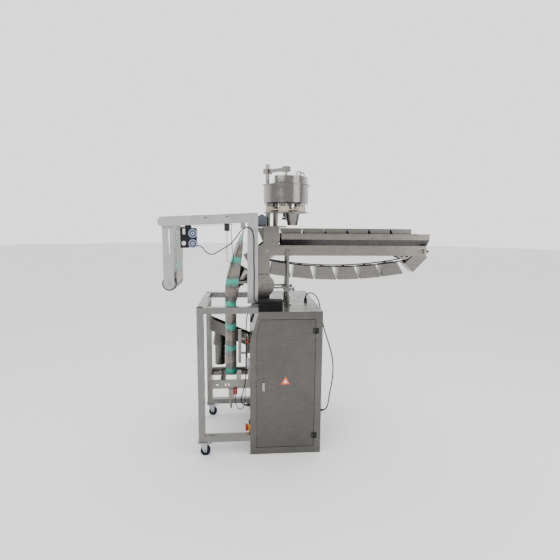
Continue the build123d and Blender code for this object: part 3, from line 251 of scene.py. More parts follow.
STAINLESS = sheet_metal("brushed_stainless", (0.15, 0.145, 0.136), (0.095, 0.091, 0.085), ALONG_X, 0.28)
FOLDED = sheet_metal("folded_stainless", (0.29, 0.277, 0.262), (0.18, 0.168, 0.156), ALONG_X, 0.28)
TUBE_STEEL = sheet_metal("square_tube_steel", (0.25, 0.246, 0.238), (0.16, 0.156, 0.15), ALONG_Z, 0.28)
CAST_STEEL = sheet_metal("machined_steel", (0.32, 0.31, 0.30), (0.15, 0.143, 0.135), ALONG_Y, 0.34)
ALLOY = sheet_metal("light_alloy", (0.52, 0.52, 0.53), (0.42, 0.42, 0.43), ALONG_X, 0.40)
BRIGHT = sheet_metal("polished_steel", (0.42, 0.41, 0.40), (0.24, 0.232, 0.224), ALONG_Z, 0.14, 0.04)
SPUN = sheet_metal("spun_stainless", (0.36, 0.352, 0.343), (0.19, 0.182, 0.174), ROUND_Z, 0.14)
BUCKET = sheet_metal("bucket_sheet", (0.27, 0.262, 0.25), (0.15, 0.143, 0.134), ALONG_X, 0.26)
ZINC = sheet_metal("plated_zinc", (0.50, 0.51, 0.53), (0.30, 0.31, 0.33), (200, 200, 200), 0.35)
CHAIN = sheet_metal("oiled_chain", (0.03, 0.027, 0.025), (0.012, 0.011, 0.01), (300, 300, 300), 0.45)
BLACK = moulded("black_plastic", COAL, (0.018, 0.018, 0.018), 0.55, specular=DULL)
RED = moulded("red_plastic", (0.50, 0.008, 0.008), (0.36, 0.05, 0.04), 0.35, coat=0.2)
GREEN = moulded("green_plastic", (0.01, 0.26, 0.06), (0.06, 0.25, 0.10), 0.35, coat=0.2)
WHITE = moulded("white_plastic", (0.78, 0.78, 0.76), (0.6, 0.58, 0.55), 0.4)
TAN = moulded("tan_cup_plastic", (0.50, 0.43, 0.33), (0.30, 0.24, 0.17), 0.45)
RUBBER = moulded("tyre_rubber", (0.008, 0.012, 0.026), (0.04, 0.04, 0.045), 0.7, 260.0, 0.3, specular=DULL)
SHEATH = moulded("cable_sheath", COAL, (0.02, 0.02, 0.02), 0.5, 900.0, 0.05, specular=DULL)
ENAMEL = moulded("motor_enamel", (0.07, 0.09, 0.11), (0.12, 0.12, 0.12), 0.4, coat=0.2)
ORANGE = moulded("orange_label", (0.80, 0.10, 0.015), (0.6, 0.16, 0.06), 0.5)


BAG_LENGTH = 157 * MM


def film_material():
    """Printed film: grey lacquer with painted highlights in lighter grey blotches, and wavy teal bands a
    bag's length apart, on the UV map in metres.
    """
    material = bpy.data.materials.new("printed_film")
    tree, shader = nodes_of(material)
    coords = tree.nodes.new("ShaderNodeTexCoord").outputs
    parts = tree.nodes.new("ShaderNodeSeparateXYZ")
    feed(tree, parts.inputs[0], coords["UV"])
    wave = noise_node(tree, coords["UV"], 26.0, 2.0)
    # Noise that places the painted highlights on the grey ground.
    painted_highlight = noise_node(tree, coords["UV"], 14.0, 4.0)
    crease = noise_node(tree, coords["Object"], 40.0, 5.0)
    along = calc(tree, "ADD", parts.outputs["Y"], remap(tree, wave, 0.2, 0.8, -0.020, 0.020))
    phase = calc(tree, "FRACT", calc(tree, "DIVIDE", along, BAG_LENGTH))

    def stretch_of_bag(rise_from, rise_to, fall_from, fall_to):
        """1 over a share of each bag's length, with soft ends."""
        rise = remap(tree, phase, rise_from, rise_to, 0.0, 1.0)
        return calc(tree, "MULTIPLY", rise, remap(tree, phase, fall_from, fall_to, 1.0, 0.0))

    band = stretch_of_bag(0.02, 0.05, 0.25, 0.28)
    window = calc(tree, "MULTIPLY", stretch_of_bag(0.42, 0.50, 0.80, 0.88), 0.45)
    # Painted highlights: the dark grey ground turns lighter grey in noise blotches.
    ground = blend_colour(tree, painted_highlight, (0.085, 0.09, 0.085), (0.22, 0.225, 0.215))
    ground = blend_colour(tree, window, ground, (0.34, 0.27, 0.22))
    teal = blend_colour(tree, wave, (0.02, 0.30, 0.22), (0.06, 0.50, 0.38))
    feed(tree, shader.inputs["Base Color"], blend_colour(tree, band, ground, teal))
    feed(tree, shader.inputs["Roughness"], remap(tree, crease, 0.3, 0.7, 0.18, 0.38))
    feed(tree, shader.inputs["Metallic"], remap(tree, band, 0.0, 1.0, 0.35, 0.0))
    add_relief(tree, shader, crease, 0.2, 2 * MM)
    return material


FILM = film_material()

# ---------------------------------------------------------------- camera
CAMERA_PLACE = (-0.241, -2.839, 1.489)
CAMERA_YAW = 4.58
CAMERA_PITCH = 7.87
CAMERA_ROLL = 0.53
CAMERA_LENS = 25.7


def add_camera():
    """A camera near the operator's side, turned a little towards the conveyor and down."""
    data = bpy.data.cameras.new("view_camera")
    data.lens = CAMERA_LENS
    data.sensor_width = 36.0
    camera = bpy.data.objects.new("view_camera", data)
    bpy.context.collection.objects.link(camera)
    turn = (Matrix.Rotation(math.radians(-CAMERA_YAW), 4, "Z")
            @ Matrix.Rotation(math.radians(90 - CAMERA_PITCH), 4, "X")
            @ Matrix.Rotation(math.radians(CAMERA_ROLL), 4, "Z"))
    camera.matrix_world = Matrix.Translation(CAMERA_PLACE) @ turn
    bpy.context.scene.camera = camera


add_camera()


# ---------------------------------------------------------------- helpers
def put(points):
    """Millimetre points as an array in metres."""
    return np.array(points, float) * MM


def grid_faces(rows, columns, wrap_rows=False, wrap_columns=False, caps=False):
    """Quads of a grid of rows x columns vertices, closed on itself either way; caps are one face over the
    first row and one over the last.  They point outwards if the columns run anticlockwise about the way that
    the rows go."""
    row_count = rows if wrap_rows else rows - 1
    column_count = columns if wrap_columns else columns - 1
    i, j = np.meshgrid(np.arange(row_count), np.arange(column_count), indexing="ij")
    i2, j2 = (i + 1) % rows, (j + 1) % columns
    quads = np.stack([i * columns + j, i * columns + j2, i2 * columns + j2, i2 * columns + j], axis=-1)
    faces = quads.reshape(-1, 4).tolist()
    if caps:
        faces.append(list(range(columns - 1, -1, -1)))
        faces.append(list(range((rows - 1) * columns, rows * columns)))
    return faces


def repeat_faces(faces, size, count):
    """The faces of one shape of size vertices, once for each of its count copies."""
    return [[corner + copy * size for corner in face] for copy in range(count) for face in faces]


def make_piece(name, vertices, faces, material, body=None, smooth=True, uv=None):
    """A mesh object from whole arrays; uv holds one pair per vertex."""
    mesh = bpy.data.meshes.new(name)
    mesh.from_pydata(np.asarray(vertices, float).reshape(-1, 3).tolist(), [], faces)
    if uv is not None:
        layer = mesh.uv_layers.new(name="flat")
        corner = np.zeros(len(mesh.loops), np.int32)
        mesh.loops.foreach_get("vertex_index", corner)
        layer.data.foreach_set("uv", np.asarray(uv, np.float32).reshape(-1, 2)[corner].ravel())
    mesh.polygons.foreach_set("use_smooth", np.full(len(mesh.polygons), smooth))
    mesh.update()
    mesh.materials.append(material)
    piece = bpy.data.objects.new(name, mesh)
    bpy.context.collection.objects.link(piece)
    if body:
        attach(piece, body)
    return piece


def axes_about(direction):
    """A unit vector along a direction and two at right angles to it, in right-handed order."""
    forward = np.array(direction, float) / np.linalg.norm(direction)
    side = np.cross(forward, [0, 0, 1.0] if abs(forward[2]) < 0.9 else [1.0, 0, 0])
    side /= np.linalg.norm(side)
    return forward, side, np.cross(forward, side)


# ---------------------------------------------------------------- cords
def add_cord(node, points, diameter):
    """A NURBS cable on the CAD route's control points, in place of the CAD one."""
    route = put(points)
    data = bpy.data.curves.new(node + "_run", "CURVE")
    data.dimensions = "3D"
    data.bevel_depth = diameter * MM / 2
    data.bevel_resolution = 5
    data.resolution_u = 12
    data.use_fill_caps = True
    line = data.splines.new("NURBS")
    line.points.add(len(route) - 1)
    line.points.foreach_set("co", np.hstack([route, np.ones((len(route), 1))]).ravel())
    line.order_u = 3
    line.use_endpoint_u = True
    data.materials.append(SHEATH)
    piece = bpy.data.objects.new(node + "_run", data)
    bpy.context.collection.objects.link(piece)
    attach(piece, "machine")
    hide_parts(node)


def boot(name, face, outward, cable_radius):
    """A tapered rubber sleeve on a gland: a closed profile turned round the cable.  Its outside narrows in
    three ribs towards the tip, and its bore clears the cable."""
    length, bore, steps = 18, cable_radius + 0.15, 32
    height = np.linspace(0, length, 13)
    ribs = 0.35 * np.abs(np.sin(height * math.pi / 6))
    outside = cable_radius + 0.5 + 3.6 * (1 - height / length) + ribs
    radius = np.concatenate([[bore], outside, [bore]])[:, None, None]
    height = np.concatenate([[0], height, [length]])[:, None, None]
    angle = np.linspace(0, 2 * math.pi, steps, endpoint=False)[None, :, None]
    forward, side, other = axes_about(outward)
    points = np.array(face) + height * forward + radius * (np.cos(angle) * side + np.sin(angle) * other)
    faces = grid_faces(len(radius), steps, wrap_rows=True, wrap_columns=True)
    return make_piece(name, points * MM, faces, RUBBER, "machine")


front_boot = boot("front_gland_boot", (-250, -310, 300), (-1, 0, 0), 3.5)
lid_boot = boot("lid_gland_boot", (165, -60, 970), (0, 0, 1), 4)
side_boot = boot("side_gland_boot", (250, -303, 247), (1, 0, 0), 4)

add_cord("coder_cable", [
    (-565, -257, 1352), (-541, -257, 1352), (-520, -262, 1325), (-498, -266, 1303), (-470, -269, 1297),
    (-438, -271, 1311), (-409, -273, 1331), (-370, -276, 1352), (-340, -280, 1378), (-316, -284, 1408),
    (-296, -287, 1438), (-272, -290, 1463), (-242, -291, 1473), (-217, -291, 1459), (-207, -290, 1423),
    (-204, -292, 1362), (-206, -290, 1275), (-202, -292, 1185), (-204, -293, 1105), (-203, -296, 1060),
    (-205, -310, 1030), (-203, -322, 1008), (-190, -328, 996), (-172, -328, 995)], 7)
add_cord("front_cable", [
    (-172, -351, 996), (-197, -351, 996), (-222, -350, 986), (-240, -349, 962), (-248, -349, 925),
    (-254, -350, 870), (-256, -347, 790), (-253, -349, 700), (-254, -346, 610), (-257, -343, 525),
    (-264, -336, 455), (-276, -325, 400), (-287, -316, 360), (-290, -310, 324), (-275, -310, 300),
    (-250, -310, 300)], 7)
add_cord("side_cable", [
    (165, -60, 970), (165, -60, 992), (184, -68, 1014), (216, -80, 1012), (242, -98, 985), (254, -126, 945),
    (258, -168, 900), (260, -212, 845), (272, -250, 780), (296, -276, 705), (318, -292, 625),
    (326, -301, 540), (320, -305, 450), (305, -306, 370), (300, -305, 325), (297, -305, 297),
    (289, -304, 266), (274, -303, 247), (250, -303, 247)], 8)
add_cord("sensor_cable", [
    (-376, -254, 1445.8), (-376, -254, 1410), (-377, -252, 1360), (-378, -254, 1310), (-377, -253, 1274),
    (-372, -253, 1252), (-361, -254, 1242), (-348, -254, 1242), (-338, -254, 1250), (-335, -255, 1272),
    (-338, -254, 1304), (-345, -253, 1345), (-346, -255, 1392), (-350, -253, 1442), (-348, -255, 1495.9)],
    4)
add_cord("heater_cable", [
    (-330, -240, 347), (-330, -240, 318), (-329, -240, 282), (-318, -240, 252), (-299, -241, 237),
    (-280, -240, 243), (-268, -240, 270), (-265, -234, 312), (-262, -224, 346), (-262, -224, 383)],
    5)

# ---------------------------------------------------------------- film
LINE_Y = -100.0
FILM_HALF = 130.0
ROLL_CENTRE = (-750.0, 1104.0)
ENTRY = (-686.8, 1455.36)
EXIT = (-276.0, 1476.89)
WRAP = 15.3
FILM_SKIN = 0.6
SLEEVE_TOP = (-260.93, 1471.72)
LAND = (-400.7, 1060.0)
CLOSE_Z = 960.0
CHUTE_LOW = 1070.0
FLAT_ANGLE = 90.0
CHUTE_ANGLE = 72.0
TUBE_LOW = 447.0
SLEEVE_RADIUS = 37.7
BAND_SHIFT = -58.0


def arc(centre, radius, start, end, count):
    """Points (x, z) on an arc, angles in degrees from +x towards +z."""
    angle = np.radians(np.linspace(start, end, count))
    return np.stack([centre[0] + radius * np.cos(angle), centre[1] + radius * np.sin(angle)], axis=1)


def film_run():
    """The film's line from the roll, up over the entry roller, along the beams and over the exit roller."""
    radius = WRAP + FILM_SKIN / 2
    rise = np.stack([np.full(60, ENTRY[0] - radius), np.linspace(ROLL_CENTRE[1], ENTRY[1], 60)], axis=1)
    over_entry = arc(ENTRY, radius, 180, 93, 16)
    over_exit = arc(EXIT, radius, 93, -18, 20)
    along = np.linspace(over_entry[-1], over_exit[0], 90)
    return np.concatenate([rise, over_entry[1:], along[1:-1], over_exit])


def add_thickness(piece):
    """The film's own thickness, half on each side of the sheet."""
    modifier = piece.modifiers.new("thickness", "SOLIDIFY")
    modifier.thickness = FILM_SKIN * MM
    modifier.offset = 0.0


def add_film_strip():
    """A flat web: the run's line pushed across y, with a slow ripple that dies out at the rollers."""
    line = film_run()
    step = np.linalg.norm(np.diff(line, axis=0), axis=1)
    travel = np.concatenate([[0], np.cumsum(step)])
    tangent = np.gradient(line, axis=0)
    tangent /= np.linalg.norm(tangent, axis=1)[:, None]
    normal = np.stack([-tangent[:, 1], tangent[:, 0]], axis=1)
    across = np.linspace(-1, 1, 61)
    away = np.minimum(*(np.linalg.norm(line - np.array(roller), axis=1) for roller in (ENTRY, EXIT)))
    free = np.clip((away - 30) / 60, 0, 1) * np.clip((travel - 15) / 60, 0, 1)
    ripple = (0.9 * np.sin(across[None, :] * 7 + travel[:, None] / 55)
              + 0.5 * np.sin(across[None, :] * 17 - travel[:, None] / 31)) * free[:, None]
    x = line[:, 0][:, None] + normal[:, 0][:, None] * ripple
    z = line[:, 1][:, None] + normal[:, 1][:, None] * ripple
    y = LINE_Y + FILM_HALF * across[None, :] + 0 * x
    flat = np.stack([(across[None, :] + 1) * FILM_HALF + 0 * x,
                     travel[:, None] - travel[-1] + BAND_SHIFT + 0 * x], axis=-1) * MM
    points = np.stack([x, y, z], axis=-1) * MM
    piece = make_piece("film_web", points, grid_faces(*x.shape), FILM, "machine", uv=flat)
    add_thickness(piece)
    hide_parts("film_strip")


def add_film_sleeve():
    """Film that curls as it falls.  Each row is one length of film whose heading turns at a steady rate out
    from its front line up to a greatest angle.  Beyond that it runs straight, past the chute, and lower down
    it turns again until the row is a closed ring on the forming tube.  Soft folds run down the free part, and
    rings of creases go round the tube."""
    z = np.concatenate([np.linspace(SLEEVE_TOP[1], LAND[1], 90)[:-1], np.linspace(LAND[1], CLOSE_Z, 40)[:-1],
                        np.linspace(CLOSE_Z, TUBE_LOW, 150)])
    fall = np.minimum(1, (SLEEVE_TOP[1] - z) / (SLEEVE_TOP[1] - LAND[1]))
    middle = SLEEVE_TOP[0] + (LAND[0] - SLEEVE_TOP[0]) * fall - 24 * np.sin(math.pi * fall)
    curl = np.maximum(0.0005, fall ** 1.13 / SLEEVE_RADIUS)[:, None]
    beside_chute = np.clip((z - CHUTE_LOW) / 25, 0, 1)[:, None]
    greatest = np.radians(FLAT_ANGLE + (CHUTE_ANGLE - FLAT_ANGLE) * beside_chute)
    closing = np.clip((LAND[1] - z) / (LAND[1] - CLOSE_Z), 0, 1)[:, None]
    flat_width = 2 * math.pi * 0.985 * SLEEVE_RADIUS
    columns = 61
    out = np.linspace(0, flat_width / 2, columns)[None, :]
    heading = np.where(curl * out < greatest, curl * out, greatest + (curl * out - greatest) * closing)
    step = out[0, 1]
    middle_heading = (heading[:, 1:] + heading[:, :-1]) / 2
    reach = np.hstack([np.zeros((len(z), 1)), np.cumsum(np.sin(middle_heading) * step, axis=1)])
    side = np.hstack([np.zeros((len(z), 1)), np.cumsum(np.cos(middle_heading) * step, axis=1)])
    heading, reach = (np.hstack([v[:, :0:-1] * k, v]) for v, k in ((heading, -1), (reach, 1)))
    side = np.hstack([-side[:, :0:-1], side])
    across = np.linspace(-1, 1, 2 * columns - 1)
    free = np.clip((SLEEVE_TOP[1] - z) / 60, 0, 1) * np.clip((z - 1110) / 120, 0, 1)
    folds = free[:, None] * (2.6 * np.sin(across[None, :] * 6.0 + z[:, None] / 70)
                             + 1.4 * np.sin(across[None, :] * 13.0 - z[:, None] / 38))
    held = 1 - np.clip((z - CLOSE_Z) / 90, 0, 1)
    creases = held[:, None] * (0.7 + 0.45 * np.sin(z[:, None] / 6.5 + 2.4 * np.sin(heading * 1.5))
                               + 0.25 * np.sin(z[:, None] / 2.9 + 3 * np.cos(heading)))
    grow = 0.3 + np.maximum(0, creases) + folds
    x = middle[:, None] + reach - grow * np.cos(heading)
    y = LINE_Y + side + grow * np.sin(heading)
    heights = z[:, None] + 0 * x
    line = np.stack([middle, z], axis=1)
    travel = np.concatenate([[0], np.cumsum(np.linalg.norm(np.diff(line, axis=0), axis=1))])
    flat = np.stack([(across[None, :] + 1) * flat_width / 2 + 0 * x,
                     travel[:, None] + BAND_SHIFT + 0 * x], axis=-1) * MM
    points = np.stack([x, y, heights], axis=-1) * MM
    piece = make_piece("film_tube", points, grid_faces(*x.shape), FILM, "machine", uv=flat)
    add_thickness(piece)
    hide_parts("film_sleeve")


add_film_strip()
add_film_sleeve()


# ---------------------------------------------------------------- chain
SPROCKET = (-115.0, 1315.0)
CHAIN_RADIUS = 60.75
CHAIN_TOP = 949.0
CHAIN_SAG = 45.0
LINK_COUNT = 180
LINK_PITCH = 12.7
STRAND_OFFSET = 53.5


def chain_line(count):
    """Evenly spaced places and directions on the chain: a straight top run, two wraps and a sagging arc."""
    half = CHAIN_TOP / 2
    drop = half ** 2 / (2 * CHAIN_SAG) - CHAIN_SAG / 2
    big = drop + CHAIN_SAG + CHAIN_RADIUS
    lean = math.atan2(half, drop)
    wrap = CHAIN_RADIUS * (math.pi - lean)
    total = CHAIN_TOP + 2 * wrap + 2 * big * lean
    s = np.linspace(0, total, count, endpoint=False)
    t1 = (s - CHAIN_TOP).clip(0, wrap)
    t2 = (s - CHAIN_TOP - wrap).clip(0, 2 * big * lean)
    t3 = (s - CHAIN_TOP - wrap - 2 * big * lean).clip(0, wrap)
    heading = -(t1 / CHAIN_RADIUS + t2 / big + t3 / CHAIN_RADIUS)
    outward = heading + math.pi / 2
    on_top, on_tail = s < CHAIN_TOP, (s >= CHAIN_TOP) & (s < CHAIN_TOP + wrap)
    on_sag = (s >= CHAIN_TOP + wrap) & (s < CHAIN_TOP + wrap + 2 * big * lean)
    centre_x = SPROCKET[0] + np.select([on_top, on_tail, on_sag], [s, CHAIN_TOP, half], 0)
    centre_z = np.where(on_sag, SPROCKET[1] + drop, SPROCKET[1])
    radius = np.where(on_sag, big, CHAIN_RADIUS)
    x = np.where(on_top, centre_x, centre_x + radius * np.cos(outward))
    z = np.where(on_top, SPROCKET[1] + CHAIN_RADIUS, centre_z + radius * np.sin(outward))
    return x, z, heading


def add_chain():
    """Roller chain: a waisted side plate per link, wider at its two ends, on both faces of each strand, and
    a twelve-sided roller between plates at every pin."""
    x, z, heading = (value[:, None] for value in chain_line(LINK_COUNT))
    cos, sin = np.cos(heading), np.sin(heading)
    corners = 12
    u = np.linspace(0, 2 * math.pi, corners, endpoint=False)
    plate = (np.cos(u) * (LINK_PITCH / 2 + 4.6), np.sin(u) * (3.6 + 1.8 * np.abs(np.cos(u))))
    roller = (np.cos(u) * 4.0 - LINK_PITCH / 2, np.sin(u) * 4.0)
    strands = (LINE_Y - STRAND_OFFSET, LINE_Y + STRAND_OFFSET)
    parts = [(outline, strand + near, strand + far) for strand in strands
             for outline, near, far in ((plate, -3.4, -2.4), (plate, 2.4, 3.4), (roller, -2.3, 2.3))]
    points = np.zeros((len(parts), LINK_COUNT, 2, corners, 3))
    for index, ((length, width), near, far) in enumerate(parts):
        points[index, ..., 0] = (x + cos * length - sin * width)[:, None, :]
        points[index, ..., 1] = np.array([far, near])[:, None]
        points[index, ..., 2] = (z + sin * length + cos * width)[:, None, :]
    prism = grid_faces(2, corners, wrap_columns=True, caps=True)
    faces = repeat_faces(prism, 2 * corners, len(parts) * LINK_COUNT)
    piece = make_piece("roller_chain", points * MM, faces, CHAIN, "machine", smooth=False)
    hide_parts("conveyor_chain")


add_chain()


# ---------------------------------------------------------------- small parts
DOOR_FACE = -400.0
LABEL_CENTRE = (-4.5, 492.0)
BOX_FACE = -388.0
PLATE_FACE = -224.0
BEAM_FACE = -277.0
ARM_FACE = -244.0
GUIDE_RODS = {"near": -195, "far": -5}
GUIDE_ROD_Z = 413
TOWARDS_VIEW = (0, -1, 0)


def add_label(name, size, paint, proud):
    """One field of a plain triangular warning sticker with rounded corners: the outline's radius is that of a
    triangle softened by a power mean.  It lies on the door, its rim a little lower than its middle."""
    angle = np.linspace(0, 2 * math.pi, 72, endpoint=False)
    sides = (np.maximum(0, np.cos(angle - math.radians(turn))) for turn in (30, 150, 270))
    reach = sum(side ** 9 for side in sides) ** (1 / 9)
    radius = np.array([0.02, 0.6, 0.94, 1.0])[:, None] * size / reach
    x = LABEL_CENTRE[0] - radius * np.cos(angle)
    z = LABEL_CENTRE[1] + radius * np.sin(angle)
    y = DOOR_FACE - 0.35 - proud * np.array([1, 1, 1, 0.15])[:, None] + 0 * x
    faces = grid_faces(4, 72, wrap_columns=True, caps=True)
    make_piece(name, np.stack([x, y, z], axis=-1) * MM, faces, paint, "door")


def add_spring(name, y, x_start, x_end, turns):
    """A compression spring on a guide rod: a circle of the wire's radius swept along a helix."""
    radius, wire = 11, 1.2
    start, end = np.array([x_start, y, GUIDE_ROD_Z], float), np.array([x_end, y, GUIDE_ROD_Z], float)
    forward, side, other = axes_about(end - start)
    t = np.linspace(0, 1, turns * 16)[:, None, None]
    turn = 2 * math.pi * turns * t
    round_wire = np.linspace(0, 2 * math.pi, 8, endpoint=False)[None, :, None]
    out = np.cos(turn) * side + np.sin(turn) * other
    points = (start + t * (end - start) + out * (radius + wire * np.cos(round_wire))
              - forward * wire * np.sin(round_wire))
    make_piece(name, points * MM, grid_faces(turns * 16, 8, wrap_columns=True, caps=True), BRIGHT, "machine")


def add_bolts(name, places, face, radius, height):
    """Hexagon heads with a chamfer on a face towards the view: each is a six-sided ring at three heights, on
    a washer ring.  Places are pairs of x and z."""
    forward, side, other = axes_about(TOWARDS_VIEW)
    angle = np.radians(np.arange(0, 360, 60))[None, :, None]
    out = radius * np.array([1.35, 1.35, 1.0, 1.0, 0.86, 0.02])[:, None, None]
    rise = height * np.array([0.0, 0.12, 0.12, 0.86, 1.0, 1.0])[:, None, None]
    head = out * (np.cos(angle) * side + np.sin(angle) * other) + rise * forward
    seats = np.array([(x, face, z) for x, z in places], float)[:, None, None, :]
    rings, corners = head.shape[:2]
    one_head = grid_faces(rings, corners, wrap_columns=True, caps=True)
    faces = repeat_faces(one_head, rings * corners, len(places))
    make_piece(name, (seats + head) * MM, faces, ZINC, "machine", smooth=False)


def add_fins():
    """Heat-sink fins on the control box's near face: each is a thin blade whose half width tapers evenly from
    the root to a round tip, and which thins out at its upper and lower ends."""
    centre = np.linspace(-163, -34, 19)[:, None, None]
    angle = np.linspace(0, math.pi, 7)
    half_width = np.concatenate([[-1.4], -0.8 * np.cos(angle), [1.4]])
    depth = np.concatenate([[0], -3.2 - 0.8 * np.sin(angle), [0]])
    rows = np.array([956.0, 957.5, 1008.5, 1010.0])[None, :, None]
    fullness = np.array([0.2, 1, 1, 0.2])[None, :, None]
    x = centre + half_width * (0.4 + 0.6 * fullness)
    y = BOX_FACE + depth * fullness + 0 * x
    z = rows + 0 * x
    blade = grid_faces(rows.size, half_width.size, wrap_columns=True, caps=True)
    faces = repeat_faces(blade, rows.size * half_width.size, centre.size)
    make_piece("control_box_fins", np.stack([x, y, z], axis=-1) * MM, faces, BLACK, "machine", smooth=False)


add_label("warning_label", 17.5, ORANGE, 0.30)
add_label("warning_label_field", 8.5, WHITE, 0.42)
add_fins()
COLUMN_BOLTS = [(x, z) for x in (-233, -194) for z in (996, 1120, 1285, 1450)]
for rod, rod_y in GUIDE_RODS.items():
    add_spring("front_jaw_spring_" + rod, rod_y, -500, -436, 9)
    add_spring("rear_jaw_spring_" + rod, rod_y, -290, -247, 7)
add_bolts("column_bolts", COLUMN_BOLTS, BEAM_FACE, 3.4, 2.6)
add_bolts("beam_bolts", [(-212, 1538), (-212, 1515)], BEAM_FACE, 4.0, 3.0)
add_bolts("arm_bolts", [(-764, 1508), (-740, 1478)], ARM_FACE, 3.4, 2.6)
add_bolts("jaw_plate_bolts", [(-500, 428), (-247, 428)], PLATE_FACE, 4.0, 3.0)


# ---------------------------------------------------------------- CAD materials
PANEL_PARTS = add_zones(
    moulded("panel_fittings", (0.012, 0.012, 0.014), (0.07, 0.07, 0.07), 0.4, specular=SATIN),
    [((-260, -340, 100), (-225, -262, 176), (0.80, 0.42, 0.02))])
DOOR = add_zones(
    sheet_metal("door_sheet", (0.128, 0.125, 0.118), (0.085, 0.082, 0.077), ALONG_X, 0.26),
    [((160, -420, hinge - 24), (192, -401.5, hinge + 24), COAL) for hinge in (120, 825)])
NAVY = (0.006, 0.012, 0.045)
SPOOL_X = -589
SPOOL_RINGS = [(25.5, (0.42, 0.46, 0.55)), (21.5, (0.006, 0.014, 0.055)), (16.5, (0.05, 0.09, 0.22)),
               (10, (0.62, 0.66, 0.72)), (5.2, (0.05, 0.05, 0.06))]
UPPER_SPOOL, LOWER_SPOOL = (
    add_rings(moulded(name, NAVY, (0.03, 0.035, 0.05), 0.35), (SPOOL_X, height), SPOOL_RINGS)
    for name, height in (("upper_spool_enamel", 1430), ("lower_spool_enamel", 1366)))
ROLL = add_rings(
    moulded("film_roll_end", (0.03, 0.032, 0.03), (0.10, 0.13, 0.12), 0.35, 300.0), ROLL_CENTRE,
    [(39, (0.40, 0.40, 0.40)), (26, (0.46, 0.46, 0.47)), (9, (0.30, 0.30, 0.31))])
CODER = add_zones(
    moulded("coder_housing", COAL, (0.02, 0.02, 0.02), 0.45, specular=SATIN),
    [((-617.5, -263, 1344), (-560, -251, 1466), (0.006, 0.012, 0.05)),
     ((-652, -280, 1424), (-635, -262.1, 1460), (0.55, 0.56, 0.58)),
     ((-662, -276, 1352), (-630, -262.1, 1384), (0.50, 0.51, 0.53))])
JAW_STEEL = add_zones(
    sheet_metal("jaw_frame_steel", (0.31, 0.298, 0.28), (0.14, 0.132, 0.12), ALONG_X, 0.36),
    [((-345, -251, 346), (-315, -230.5, 388), (0.26, 0.03, 0.02))])
PANEL_STEEL = sheet_metal("conveyor_sheet", (0.31, 0.288, 0.266), (0.20, 0.178, 0.16), ALONG_X, 0.3)
# Painted shade: the panels' sloped underside, z 1352.5 to 1393.5, is painted darker as if in shadow, and
# stays metallic.
add_zones(PANEL_STEEL, [((-30, -215, 1352.5), (995, 15, 1393.5), (0.085, 0.082, 0.08))], painted=False)
add_zones(PANEL_STEEL, [((985, -215, 1295), (1012, 15, 1335), (0.01, 0.01, 0.01))])
SENSOR = moulded("sensor_housing", (0.02, 0.02, 0.022), (0.05, 0.05, 0.05), 0.4, specular=SATIN)

DRESS = {
    STAINLESS: ["cabinet_shell", "far_cover", "discharge_channel"],
    DOOR: ["near_door"],
    FOLDED: ["conveyor_legs", "filler_base"],
    PANEL_STEEL: ["conveyor_near_panel", "conveyor_far_panel"],
    TUBE_STEEL: ["tube_frame", "support_rods"],
    ALLOY: ["columns", "film_beams", "film_arms"],
    SENSOR: ["colour_mark_sensor"],
    JAW_STEEL: ["jaw_frame"],
    CAST_STEEL: ["front_jaw", "rear_jaw", "vertical_sealer", "chute_bracket"],
    BRIGHT: ["forming_tube", "entry_roller", "exit_roller", "cover_post", "door_lock_lever",
             "conveyor_head_shaft", "conveyor_tail_shaft"],
    SPUN: ["filler_bowl", "filler_cover"],
    BUCKET: ["conveyor_buckets"],
    ZINC: ["caster_plates", "near_caster_fork", "far_caster_fork", "near_brake_pedal", "far_brake_pedal",
           "air_valve"],
    CHAIN: ["conveyor_chain"],
    BLACK: ["control_box", "hinge_frame_leaves", "electrical_units"],
    CODER: ["coder_body"],
    ROLL: ["film_roll"],
    UPPER_SPOOL: ["coder_spool_upper"],
    LOWER_SPOOL: ["coder_spool_lower"],
    RED: ["e_stop_button", "main_switch_knob"],
    GREEN: ["start_button"],
    WHITE: ["air_valve_lever"],
    TAN: ["measuring_cups"],
    RUBBER: ["near_caster_wheel", "far_caster_wheel"],
    ENAMEL: ["main_gearmotor", "filler_gearmotor"],
    PANEL_PARTS: ["operator_panel"],
}


def dress(node, material):
    """One material in every slot of a CAD node."""
    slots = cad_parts[node].data.materials
    for index in range(len(slots)):
        slots[index] = material
    if not slots:
        slots.append(material)


for finish, nodes in DRESS.items():
    for node in nodes:
        dress(node, finish)


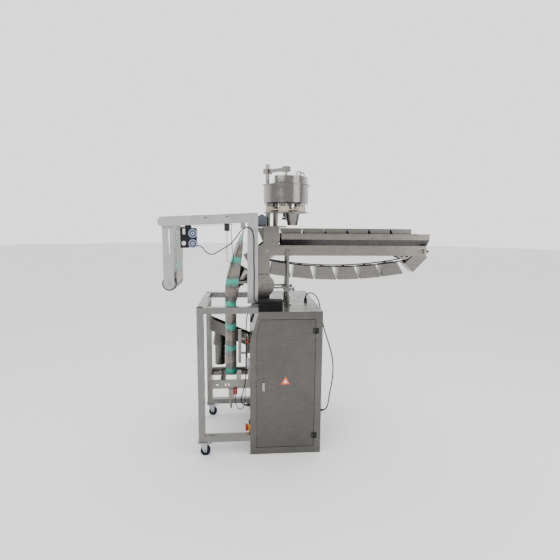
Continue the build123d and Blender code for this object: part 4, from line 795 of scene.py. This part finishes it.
# ---------------------------------------------------------------- light, floor
def area_light(name, place, target, size, power):
    """A soft lamp that faces a point."""
    data = bpy.data.lights.new(name, "AREA")
    data.shape = "RECTANGLE"
    data.size, data.size_y = size
    data.energy = power
    lamp = bpy.data.objects.new(name, data)
    aim = (Vector(target) - Vector(place)).to_track_quat("-Z", "Y").to_matrix().to_4x4()
    lamp.matrix_world = Matrix.Translation(place) @ aim
    bpy.context.collection.objects.link(lamp)
    return lamp


def add_studio():
    """A pale round floor just under the casters, three soft lamps, and a surround that is white behind and
    overhead and greyer in front."""
    angle = np.linspace(0, 2 * math.pi, 64, endpoint=False)
    radius = np.array([30, 12, 4, 0.01])[:, None]
    x, y = radius * np.cos(angle), radius * np.sin(angle)
    points = np.stack([x, y, np.full(x.shape, -0.5 * MM)], axis=-1)
    paper = bpy.data.materials.new("pale_floor")
    tree, shader = nodes_of(paper)
    shader.inputs["Base Color"].default_value = (0.90, 0.90, 0.90, 1)
    shader.inputs["Roughness"].default_value = 0.9
    floor = make_piece("floor", points, grid_faces(*x.shape, wrap_columns=True), paper)
    lamps = [
        area_light("key", (-1.9, -3.0, 3.2), (0.0, -0.3, 0.9), (2.2, 2.2), 60),
        area_light("fill", (2.6, -2.2, 2.2), (0.2, 0.0, 0.9), (2.0, 2.6), 30),
        area_light("top", (0.2, 0.6, 3.8), (0.1, 0.0, 1.0), (2.4, 2.4), 30),
    ]
    world = bpy.data.worlds.new("studio")
    bpy.context.scene.world = world
    world.use_nodes = True
    tree = world.node_tree
    coords = tree.nodes.new("ShaderNodeTexCoord")
    parts = tree.nodes.new("ShaderNodeSeparateXYZ")
    tree.links.new(coords.outputs["Generated"], parts.inputs[0])
    behind = remap(tree, parts.outputs["Y"], -0.15, 0.35, 0.0, 1.0)
    above = remap(tree, parts.outputs["Z"], 0.25, 0.8, 0.0, 0.8)
    white = calc(tree, "MAXIMUM", behind, above)
    sky = blend_colour(tree, white, (0.40, 0.393, 0.38), (1.0, 1.0, 1.0))
    background = tree.nodes["Background"]
    tree.links.new(sky, background.inputs["Color"])
    background.inputs["Strength"].default_value = 1.8


add_studio()
